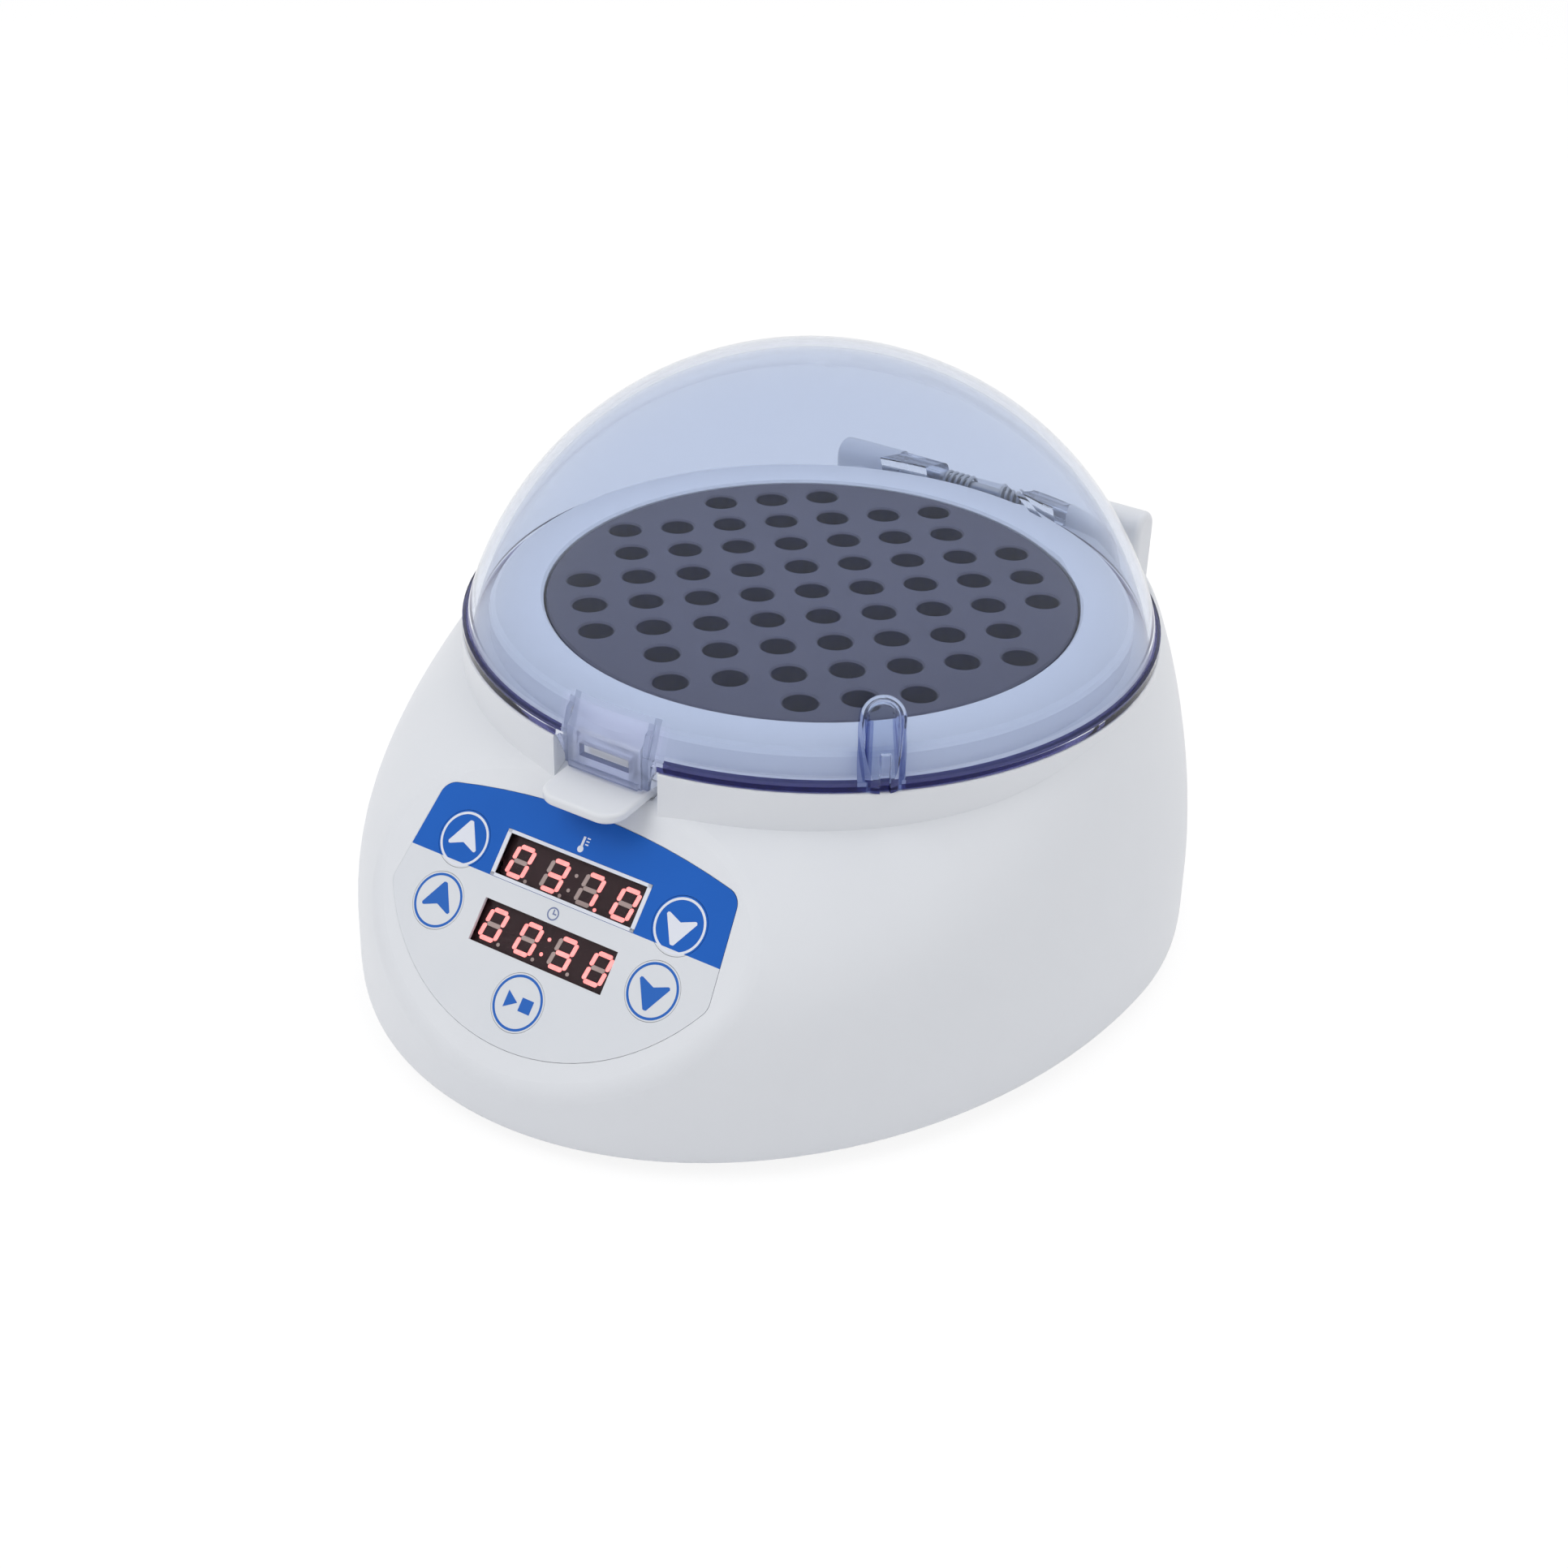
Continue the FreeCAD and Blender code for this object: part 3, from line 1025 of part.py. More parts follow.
def make_release_tab():
    """The white slider: a finger lip, a flat shank in the body's slot and a catch nose."""
    top = FACE_HEIGHT - TAB_TOP_DROP
    low = top - TAB_THICKNESS
    root = BLOCK_Y - TAB_ROOT
    tip = BLOCK_Y - TAB_TIP
    drop = TAB_TIP_DROP - TAB_TOP_DROP
    inner_end = BLOCK_Y - COLLAR_R + 0.5
    lip = prism_yz([(root, low), (root, top), (tip, top - drop), (tip, low - drop)], -TAB_HALF_WIDTH, TAB_HALF_WIDTH)
    corners = [e for e in lip.Edges if e.BoundBox.YMax < tip + 0.01 and e.BoundBox.XLength < 0.01]
    lip = lip.makeFillet(TAB_CORNER, corners)
    lip = lip.makeFillet(TAB_EDGE, [e for e in lip.Edges if e.BoundBox.ZLength < drop + 0.1
                                    and e.BoundBox.YMin < root - 0.1])
    shank = box(-TAB_HALF_WIDTH, TAB_HALF_WIDTH, root, inner_end, low, top)
    nose_front = BLOCK_Y - BOSS_FACE + BOSS_WALL + SEAT_GAP
    nose = box(-NOSE_HALF_WIDTH, NOSE_HALF_WIDTH, nose_front, nose_front + NOSE_THICKNESS, low,
               FACE_HEIGHT - WINDOW_TOP_DROP - 0.6)
    guide = Part.makeCylinder(GUIDE_R, GUIDE_LENGTH, Vector(0, inner_end, top - TAB_THICKNESS / 2), Vector(0, 1, 0))
    return joined([shank, lip, nose, guide])


def make_release_spring():
    """The return spring, drawn at the length that it has with the tab pushed in."""
    length = COLLAR_R - 0.5 - TAB_TRAVEL - SPRING_SEAT - 0.1
    pitch = (length - 2 * RELEASE_WIRE_R) / RELEASE_TURNS
    helix = Part.makeHelix(pitch, pitch * RELEASE_TURNS, RELEASE_COIL_R)
    ring = Part.Wire([Part.makeCircle(RELEASE_WIRE_R, Vector(RELEASE_COIL_R, 0, 0), Vector(0, 1, 0))])
    coil = Part.Wire(helix.Edges).makePipeShell([ring], True, True)
    middle_z = FACE_HEIGHT - TAB_TOP_DROP - TAB_THICKNESS / 2
    seat_y = BLOCK_Y - SPRING_SEAT
    coil.Placement = Placement(Vector(0, seat_y - RELEASE_WIRE_R, middle_z), Rotation(Vector(1, 0, 0), 90))
    return coil


def make_heater_leads():
    return Part.makeCompound([upright(WIRE_R, LEAD_X, y, BOARD_TOP + 5.2, HEATER_BOTTOM) for y in LEAD_Y])


def make_probe_lead():
    start_x = -BLOCK_R - 10 + 4
    return tube([(start_x, BLOCK_Y, PROBE_Z), (start_x - 6, BLOCK_Y, PROBE_Z - 1),
                 (start_x - 7, BLOCK_Y - 4, PROBE_Z - 14), (start_x - 2, BLOCK_Y - 10, BOARD_TOP + 10),
                 (-52, BLOCK_Y - 16, BOARD_TOP + LEAD_RISE), (-52, BLOCK_Y - 16, BOARD_TOP)], WIRE_R, 6)


def make_mains_leads():
    leads = []
    start_y = PORT_Y - INLET_BODY[2] - PIN_TAIL
    end_y = BLOCK_Y + MAIN_BOARD[1] / 2 - 2
    for dx, dz in INLET_PINS:
        x = INLET_X + dx
        z = PORT_Z + dz
        leads.append(tube([(x, start_y, z), (x, start_y - 7, z), (x * 0.8, start_y - 12, z - 6),
                           (x * 0.8, end_y, BOARD_TOP + LEAD_RISE), (x * 0.8, end_y, BOARD_TOP)], MAINS_WIRE_R, 5))
    return Part.makeCompound(leads)


def make_ribbon():
    """Flat cable from the display board down to the main board."""
    start_n = MODULE_BACK - BOARD_THICKNESS
    start = Placement(Vector(0, PANEL_Y, PANEL_Z), Rotation(Vector(1, 0, 0), PANEL_TILT)).multVec(
        Vector(0, -12, start_n))
    end_y = BLOCK_Y - MAIN_BOARD[1] / 2 + 4
    outline = [(start.y, start.z), (start.y + 9, start.z - 8), (end_y - 8, BOARD_TOP + 9), (end_y, BOARD_TOP)]
    thick = 0.9
    low_side = [(y - thick * 0.7, z - thick * 0.7) for y, z in reversed(outline[1:-1])]
    points = outline + [(outline[-1][0] - thick, outline[-1][1])] + low_side + [(outline[0][0] - thick * 0.7,
                                                                              outline[0][1] - thick * 0.7)]
    return prism_yz(points, -9, 9)


def main():
    os.makedirs("parts", exist_ok=True)
    export("top_cover", make_cover())
    export("base_plate", make_base_plate())
    export("rubber_feet", make_feet())
    export("case_screws", make_case_screws())
    export("heating_block", make_block())
    export("heater_mat", make_heater())
    export("clamp_plate", make_clamp())
    export("insulation_disc", make_felt())
    export("insulation_sleeve", make_sleeve())
    export("block_pillars", make_pillars())
    export("pillar_screws", make_pillar_screws())
    export("temperature_probe", make_probe())
    export("thermal_cutout", make_cutout())
    export("main_board", make_main_board())
    export("board_screws", make_board_screws())
    export("transformer", make_transformer())
    export("power_relay", make_relay())
    export("smoothing_capacitor", make_capacitor())
    export("heat_sink", make_heat_sink())
    export("terminal_block", make_terminal_block())
    export("fuse_clips", make_fuse_clips())
    export("fuse", make_fuse())
    export("buzzer", make_buzzer())
    export("display_board", make_display_board())
    export("display_board_screws", make_display_screws())
    export("temperature_display", make_module(TEMP_ROW))
    export("time_display", make_module(0.0))
    export("tact_switches", make_tact_switches())
    export("panel_overlay", make_overlay())
    export("display_panes", make_panes())
    for name, (u, v) in KEY_PLACES.items():
        export(name, make_key(u, v))
    export("power_inlet", make_inlet())
    export("inlet_pins", make_inlet_pins())
    export("switch_frame", make_switch_frame())
    export("power_rocker", make_rocker())
    export("dome_lid", make_lid())
    export("hinge_pin", make_hinge_pin())
    export("hinge_springs", make_hinge_springs())
    export("release_tab", make_release_tab())
    export("release_spring", make_release_spring())
    export("heater_leads", make_heater_leads())
    export("probe_lead", make_probe_lead())
    export("mains_leads", make_mains_leads())
    export("display_ribbon", make_ribbon())


main()
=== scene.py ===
import bmesh
import bpy
import math
from mathutils import Matrix, Vector


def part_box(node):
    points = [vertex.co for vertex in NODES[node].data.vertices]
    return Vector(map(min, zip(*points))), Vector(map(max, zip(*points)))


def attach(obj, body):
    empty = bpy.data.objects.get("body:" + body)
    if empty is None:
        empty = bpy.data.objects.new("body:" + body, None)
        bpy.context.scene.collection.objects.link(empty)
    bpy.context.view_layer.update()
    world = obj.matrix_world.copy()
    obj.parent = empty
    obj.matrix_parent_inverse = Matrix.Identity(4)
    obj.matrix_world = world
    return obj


# Dry bath incubator: finishes, printed panel, lit displays and the clear lid.
# The sizes named here are in millimetres, and MM turns them into Blender's metres.

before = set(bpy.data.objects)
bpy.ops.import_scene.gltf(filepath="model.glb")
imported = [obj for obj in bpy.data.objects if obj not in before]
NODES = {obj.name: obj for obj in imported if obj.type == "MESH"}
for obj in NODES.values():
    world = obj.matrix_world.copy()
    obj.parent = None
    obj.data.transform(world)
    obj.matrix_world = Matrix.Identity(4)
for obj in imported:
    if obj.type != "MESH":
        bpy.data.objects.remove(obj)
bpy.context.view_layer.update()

MM = 0.001

# The block's middle and its upper face: panel, lid zones and camera are placed from them
block_low, block_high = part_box("heating_block")
BLOCK_Y = (block_low[1] + block_high[1]) / 2 / MM
FACE_Z = block_high[2] / MM

# The panel's middle and tilt, and what lies on it: heights are measured out of the panel's plane
PANEL_AHEAD = 103.0
PANEL_DROP = 41.7
PANEL_PLACE = (0.0, BLOCK_Y - PANEL_AHEAD, FACE_Z - PANEL_DROP)
PANEL_TILT = math.radians(48.2)
FILM_TOP = 0.1
DISPLAY_FACE = -1.7
BLUE_FROM = 9.55
KEY_SPREAD = 28.6
TEMPERATURE_KEY_ROW = 14.6
TIME_KEY_ROW = 0.2
START_KEY_ROW = -13.1
KEYS = {
    "key_temperature_up": (-KEY_SPREAD, TEMPERATURE_KEY_ROW),
    "key_temperature_down": (KEY_SPREAD, TEMPERATURE_KEY_ROW),
    "key_time_up": (-KEY_SPREAD, TIME_KEY_ROW),
    "key_time_down": (KEY_SPREAD, TIME_KEY_ROW),
    "key_start_stop": (0.0, START_KEY_ROW),
}


# Nodes

def rgba(color):
    return (color[0], color[1], color[2], 1.0)


def add(tree, kind, settings=None, values=None, links=None):
    """One node with its settings, plain values and incoming links."""
    node = tree.nodes.new(kind)
    for name, value in (settings or {}).items():
        setattr(node, name, value)
    for name, value in (values or {}).items():
        node.inputs[name].default_value = value
    for name, source in (links or {}).items():
        tree.links.new(source, node.inputs[name])
    return node


def reckon(tree, operation, *values):
    """One sum on plain numbers or on the outputs of nodes."""
    node = tree.nodes.new("ShaderNodeMath")
    node.operation = operation
    for number, value in enumerate(values):
        if isinstance(value, (int, float)):
            node.inputs[number].default_value = value
        else:
            tree.links.new(value, node.inputs[number])
    return node.outputs[0]


def mixed(tree, share, first, second):
    """A colour between two, by a share from none to all of the second."""
    node = add(tree, "ShaderNodeMix", {"data_type": "RGBA"})
    for label, value in (("Factor", share), ("A", first), ("B", second)):
        if isinstance(value, tuple):
            node.inputs[label].default_value = rgba(value)
        else:
            tree.links.new(value, node.inputs[label])
    return node.outputs["Result"]


def under(tree, value, limit):
    """A mask: one where a value in metres is under a limit in millimetres."""
    return reckon(tree, "LESS_THAN", value, limit * MM)


def within(tree, value, middle, half):
    """A mask: one where a value in metres is at most half a width from a middle in millimetres."""
    return reckon(tree, "COMPARE", value, middle * MM, half * MM)


def overlap(tree, first, *others):
    """A mask: one where all the given masks are one."""
    for other in others:
        first = reckon(tree, "MULTIPLY", first, other)
    return first


# Camera and light

CAMERA_FROM_BLOCK = (252.3, -407.3, 238.8)
CAMERA_AZIMUTH = math.radians(32.41)
CAMERA_ELEVATION = math.radians(31.37)
CAMERA_ROLL = math.radians(1.61)
CAMERA_LENS = 52.45
CAMERA_SENSOR = 36

# Lamps by name, with place and width in metres and power in watts
LAMPS = (
    ("key_lamp", (-0.55, -0.65, 1.05), 0.9, 5.5),
    ("top_lamp", (0.15, 0.45, 1.2), 0.9, 3.7),
    ("side_lamp", (0.9, -0.2, 0.6), 0.7, 1.4),
)
LAMP_AIM = (0, 0, 0.05)
SKY_LIGHT = 0.52
SKY_SEEN = 1.0
# Light that the lamps lose in the dome, given back by the sky to what stands under it
UNDER_DOME_LIGHT = 0.8

# The floor, with its half width in metres
FLOOR_HALF = 3.0
FLOOR_TONE = (0.93, 0.93, 0.94)
FLOOR_GLOW = 1.08
FLOOR_GLOW_SHARE = 0.8


def place_camera():
    """The camera stands where the photograph was taken from."""
    camera = bpy.data.cameras.new("camera")
    camera.lens = CAMERA_LENS
    camera.sensor_width = CAMERA_SENSOR
    holder = bpy.data.objects.new("camera", camera)
    bpy.context.scene.collection.objects.link(holder)
    back = Vector((math.sin(CAMERA_AZIMUTH) * math.cos(CAMERA_ELEVATION),
                   -math.cos(CAMERA_AZIMUTH) * math.cos(CAMERA_ELEVATION),
                   math.sin(CAMERA_ELEVATION)))
    holder.location = (Vector(CAMERA_FROM_BLOCK) + Vector((0, BLOCK_Y, FACE_Z))) * MM
    turn = (-back).to_track_quat("-Z", "Y").to_matrix() @ Matrix.Rotation(CAMERA_ROLL, 3, "Z")
    holder.rotation_mode = "QUATERNION"
    holder.rotation_quaternion = turn.to_quaternion()
    bpy.context.scene.camera = holder


def soft_lamp(name, place, size, power):
    """A square soft box that points at the object and isn't seen in glass or gloss."""
    lamp = bpy.data.lights.new(name, "AREA")
    lamp.shape = "SQUARE"
    lamp.size = size
    lamp.energy = power
    holder = bpy.data.objects.new(name, lamp)
    bpy.context.scene.collection.objects.link(holder)
    holder.location = place
    holder.rotation_mode = "QUATERNION"
    holder.rotation_quaternion = (Vector(LAMP_AIM) - Vector(place)).to_track_quat("-Z", "Y")
    holder.visible_glossy = False
    holder.visible_transmission = False


def seen_directly(tree):
    """One for rays from the camera and for those seen in gloss or through glass."""
    path = tree.nodes.new("ShaderNodeLightPath")
    beyond = reckon(tree, "MAXIMUM", path.outputs["Is Glossy Ray"], path.outputs["Is Transmission Ray"])
    return reckon(tree, "MAXIMUM", path.outputs["Is Camera Ray"], beyond)


def light_room():
    """A white sky, brighter where it is seen and for what stands under the dome, and three soft boxes."""
    world = bpy.data.worlds.new("studio")
    bpy.context.scene.world = world
    world.use_nodes = True
    tree = world.node_tree
    sky = tree.nodes["Background"]
    sky.inputs["Color"].default_value = (1, 1, 1, 1)
    level = add(tree, "ShaderNodeMapRange", values={"To Min": SKY_LIGHT, "To Max": SKY_SEEN},
                links={"Value": seen_directly(tree)})
    path = tree.nodes.new("ShaderNodeLightPath")
    after_bounce = reckon(tree, "GREATER_THAN", path.outputs["Diffuse Depth"], 0.5)
    under_dome = reckon(tree, "MULTIPLY", path.outputs["Is Transmission Ray"], after_bounce)
    strength = reckon(tree, "MULTIPLY_ADD", under_dome, UNDER_DOME_LIGHT, level.outputs["Result"])
    tree.links.new(strength, sky.inputs["Strength"])
    for name, place, size, power in LAMPS:
        soft_lamp(name, place, size, power)


def lay_floor():
    """Plain pale paper, which takes a shadow and is white where the camera sees it."""
    mesh = bmesh.new()
    bmesh.ops.create_grid(mesh, x_segments=1, y_segments=1, size=FLOOR_HALF)
    data = bpy.data.meshes.new("floor")
    mesh.to_mesh(data)
    mesh.free()
    floor = bpy.data.objects.new("floor", data)
    bpy.context.scene.collection.objects.link(floor)
    finish, tree, surface = new_material("floor_paper")
    surface["Base Color"].default_value = rgba(FLOOR_TONE)
    surface["Roughness"].default_value = 0.9
    surface["Specular IOR Level"].default_value = 0.1
    glow = add(tree, "ShaderNodeEmission", values={"Strength": FLOOR_GLOW})
    share = reckon(tree, "MULTIPLY", seen_directly(tree), FLOOR_GLOW_SHARE)
    paper = tree.nodes["Principled BSDF"]
    mix = add(tree, "ShaderNodeMixShader",
              links={"Fac": share, 1: paper.outputs["BSDF"], 2: glow.outputs["Emission"]})
    tree.links.new(mix.outputs["Shader"], tree.nodes["Material Output"].inputs["Surface"])
    data.materials.append(finish)


# Shared surface effects

EFFECT_OUTPUTS = (("Color", "NodeSocketColor"), ("Roughness", "NodeSocketFloat"), ("Normal", "NodeSocketVector"))
LINE_SHEEN = 0.12


def new_group(name, inputs):
    """A node group that puts out a colour, a roughness and a normal."""
    group = bpy.data.node_groups.new(name, "ShaderNodeTree")
    for label, kind, value in inputs:
        socket = group.interface.new_socket(name=label, in_out="INPUT", socket_type=kind)
        socket.default_value = value
    for label, kind in EFFECT_OUTPUTS:
        group.interface.new_socket(name=label, in_out="OUTPUT", socket_type=kind)
    return group, group.nodes.new("NodeGroupInput").outputs, group.nodes.new("NodeGroupOutput").inputs


def moulded_group():
    """Fine moulded grain, faint mottling of the tone and uneven sheen."""
    group, given, out = new_group("moulded_grain", [
        ("Tone", "NodeSocketColor", (0.8, 0.8, 0.8, 1)),
        ("Shade", "NodeSocketColor", (0.7, 0.7, 0.7, 1)),
        ("Roughness", "NodeSocketFloat", 0.4),
        ("Sheen Change", "NodeSocketFloat", 0.06),
        ("Grain Scale", "NodeSocketFloat", 1800.0),
        ("Grain Depth", "NodeSocketFloat", 0.02),
        ("Mottle Scale", "NodeSocketFloat", 30.0),
    ])
    place = add(group, "ShaderNodeTexCoord").outputs["Object"]
    mottle = add(group, "ShaderNodeTexNoise", values={"Detail": 3.0, "Roughness": 0.6},
                 links={"Vector": place, "Scale": given["Mottle Scale"]}).outputs["Fac"]
    group.links.new(mixed(group, mottle, given["Tone"], given["Shade"]), out["Color"])
    change = reckon(group, "SUBTRACT", mottle, 0.5)
    sheen = reckon(group, "MULTIPLY_ADD", change, given["Sheen Change"], given["Roughness"])
    group.links.new(sheen, out["Roughness"])
    grain = add(group, "ShaderNodeTexNoise", values={"Detail": 2.0, "Roughness": 0.7},
                links={"Vector": place, "Scale": given["Grain Scale"]}).outputs["Fac"]
    bump = add(group, "ShaderNodeBump", values={"Distance": 0.0001},
               links={"Height": grain, "Strength": given["Grain Depth"]})
    group.links.new(bump.outputs["Normal"], out["Normal"])
    return group


def brushed_group():
    """Fine lines of a drawn or brushed metal, along one axis of the piece."""
    group, given, out = new_group("brushed_lines", [
        ("Tone", "NodeSocketColor", (0.6, 0.6, 0.6, 1)),
        ("Shade", "NodeSocketColor", (0.4, 0.4, 0.4, 1)),
        ("Roughness", "NodeSocketFloat", 0.35),
        ("Line Scale", "NodeSocketFloat", 900.0),
        ("Stretch", "NodeSocketVector", (0.05, 1.0, 1.0)),
    ])
    place = add(group, "ShaderNodeTexCoord").outputs["Object"]
    along = add(group, "ShaderNodeVectorMath", {"operation": "MULTIPLY"}, links={0: place, 1: given["Stretch"]})
    lines = add(group, "ShaderNodeTexNoise", values={"Detail": 2.0},
                links={"Vector": along.outputs["Vector"], "Scale": given["Line Scale"]}).outputs["Fac"]
    group.links.new(mixed(group, lines, given["Tone"], given["Shade"]), out["Color"])
    group.links.new(reckon(group, "MULTIPLY_ADD", lines, LINE_SHEEN, given["Roughness"]), out["Roughness"])
    bump = add(group, "ShaderNodeBump", values={"Distance": 0.00005, "Strength": 0.15}, links={"Height": lines})
    group.links.new(bump.outputs["Normal"], out["Normal"])
    return group


MOULDED = moulded_group()
BRUSHED = brushed_group()


# Finishes

def new_material(name):
    """A new material, with its nodes and its surface shader's inputs."""
    material = bpy.data.materials.new(name)
    material.use_nodes = True
    return material, material.node_tree, material.node_tree.nodes["Principled BSDF"].inputs


def repaint(material):
    """A material's nodes, its surface shader's inputs and the piece's own coordinates."""
    tree = material.node_tree
    return tree, tree.nodes["Principled BSDF"].inputs, add(tree, "ShaderNodeTexCoord").outputs["Object"]


def finish_with(name, group, values, shader):
    """A material whose colour, roughness and normal come from one shared effect."""
    material, tree, surface = new_material(name)
    for label, value in shader.items():
        surface[label].default_value = value
    effect = add(tree, "ShaderNodeGroup", {"node_tree": group}, values)
    for label, _ in EFFECT_OUTPUTS:
        target = "Base Color" if label == "Color" else label
        tree.links.new(effect.outputs[label], surface[target])
    return material


def plastic(name, tone, shade, roughness, depth=0.02, grain=1800.0, shader=None):
    """A moulded, painted or printed finish, with its grain's depth and scale."""
    return finish_with(name, MOULDED, {"Tone": rgba(tone), "Shade": rgba(shade), "Roughness": roughness,
                                       "Grain Depth": depth, "Grain Scale": grain}, shader or {})


def metal(name, tone, shade, roughness):
    """A bare metal with fine lines."""
    return finish_with(name, BRUSHED, {"Tone": rgba(tone), "Shade": rgba(shade), "Roughness": roughness},
                       {"Metallic": 1.0})


def clear_finish(name, tone, roughness, transmission, ior=1.45, smudging=0.05):
    """A tinted clear plastic or glass with faint smudges that change its gloss."""
    material, tree, surface = new_material(name)
    surface["Base Color"].default_value = rgba(tone)
    surface["Transmission Weight"].default_value = transmission
    surface["IOR"].default_value = ior
    place = add(tree, "ShaderNodeTexCoord").outputs["Object"]
    smudge = add(tree, "ShaderNodeTexNoise", values={"Scale": 25.0, "Detail": 4.0}, links={"Vector": place})
    gloss = add(tree, "ShaderNodeMapRange", values={"To Min": roughness, "To Max": roughness + smudging},
                links={"Value": smudge.outputs["Fac"]})
    tree.links.new(gloss.outputs["Result"], surface["Roughness"])
    return material


PANEL_WHITE = ((0.74, 0.76, 0.80), (0.70, 0.73, 0.78))
PANEL_BLUE = ((0.018, 0.130, 0.54), (0.015, 0.112, 0.48))


def film_finish():
    """The panel's printed film: blue above a straight line, white below it, both faintly clouded."""
    material = plastic("panel_print", *PANEL_WHITE, 0.36, depth=0.03, grain=2500.0,
                       shader={"Specular IOR Level": 0.12})
    tree, surface, place = repaint(material)
    lie = add(tree, "ShaderNodeMapping", {"vector_type": "TEXTURE"},
              {"Location": Vector(PANEL_PLACE) * MM, "Rotation": (PANEL_TILT, 0, 0)}, {"Vector": place})
    up = add(tree, "ShaderNodeSeparateXYZ", links={"Vector": lie.outputs["Vector"]}).outputs["Y"]
    upper = reckon(tree, "GREATER_THAN", up, BLUE_FROM * MM)
    cloud = add(tree, "ShaderNodeTexNoise", values={"Scale": 60.0, "Detail": 2.0},
                links={"Vector": place}).outputs["Fac"]
    paint = mixed(tree, upper, mixed(tree, cloud, *PANEL_WHITE), mixed(tree, cloud, *PANEL_BLUE))
    tree.links.new(paint, surface["Base Color"])
    return material


# Painted shade: below the block's face the wells are painted darker, where shade falls in them
WELL_PAINTED_SHADE = (0.004, 0.006, 0.048)
WELL_SHADE_DROP = 0.5


def block_finish():
    """Dark anodised metal, with painted shade darkening the wells below the face."""
    material = plastic("dark_anodised_and_well_shade", (0.115, 0.112, 0.155), (0.10, 0.098, 0.138), 0.5, depth=0.03, grain=900.0,
                       shader={"Metallic": 0.2, "Specular IOR Level": 0.2})
    tree, surface, place = repaint(material)
    height = add(tree, "ShaderNodeSeparateXYZ", links={"Vector": place}).outputs["Z"]
    # The mask of the wells below the face, where the shade is painted
    well_shade = under(tree, height, FACE_Z - WELL_SHADE_DROP)
    face = surface["Base Color"].links[0].from_socket
    tree.links.new(mixed(tree, well_shade, face, WELL_PAINTED_SHADE), surface["Base Color"])
    return material


# Zones of the lid with a tone set apart, and the sizes that bound them: the pale band over the rim's dark line is a
# painted highlight, and the latch's cheeks and window are darkened with painted shade
LID_TONE = (0.705, 0.755, 0.86)
# Painted highlight: the pale band just above the rim's dark line
RIM_PAINTED_HIGHLIGHT, RIM_HIGHLIGHT_TOP = (0.93, 0.95, 1.0), 76.5
RIM_LINE_TONE, RIM_LINE_TOP = (0.015, 0.015, 0.10), 75.6
RIM_BACK = 76.0
LATCH_TONE = (0.76, 0.79, 0.91)
LATCH_HALF, LATCH_FRONT, LATCH_RISE = 13.2, 74.5, 3.5
LATCH_FOOT_TONE, LATCH_FOOT_TOP = (0.36, 0.39, 0.52), 69.0
FROST_ROUGHNESS, FROST_HALF = 0.42, 11.2
# Painted shade: the latch's cheeks and the recess of its window are painted darker
CHEEK_PAINTED_SHADE, CHEEK_MIDDLE, CHEEK_HALF = (0.46, 0.50, 0.62), 10.3, 0.8
WINDOW_PAINTED_SHADE, WINDOW_HALF = (0.16, 0.18, 0.30), 6.45
WINDOW_MIDDLE, WINDOW_HALF_HEIGHT = 73.35, 1.5
GRIP_TONE, GRIP_TOP = (0.22, 0.27, 0.52), 91.0
GRIP_TURN = math.radians(43.2)
GRIP_RADIUS, GRIP_REACH, GRIP_SLOT_HALF = 77.6, 5.1, 2.9


def grip_legs(tree, place, height):
    """A mask of the grip's legs, on both sides of its slot."""
    middle = Vector((GRIP_RADIUS * math.sin(GRIP_TURN), BLOCK_Y - GRIP_RADIUS * math.cos(GRIP_TURN), 0)) * MM
    aside = add(tree, "ShaderNodeVectorMath", {"operation": "SUBTRACT"}, {1: middle}, {0: place})
    flat = add(tree, "ShaderNodeVectorMath", {"operation": "MULTIPLY"}, {1: (1, 1, 0)},
               {0: aside.outputs["Vector"]}).outputs["Vector"]
    span = add(tree, "ShaderNodeVectorMath", {"operation": "LENGTH"}, links={0: flat}).outputs["Value"]
    across = add(tree, "ShaderNodeVectorMath", {"operation": "DOT_PRODUCT"},
                 {1: (math.cos(GRIP_TURN), math.sin(GRIP_TURN), 0)}, {0: flat}).outputs["Value"]
    beside_slot = reckon(tree, "GREATER_THAN", reckon(tree, "ABSOLUTE", across), GRIP_SLOT_HALF * MM)
    return overlap(tree, under(tree, span, GRIP_REACH), beside_slot, under(tree, height, GRIP_TOP))


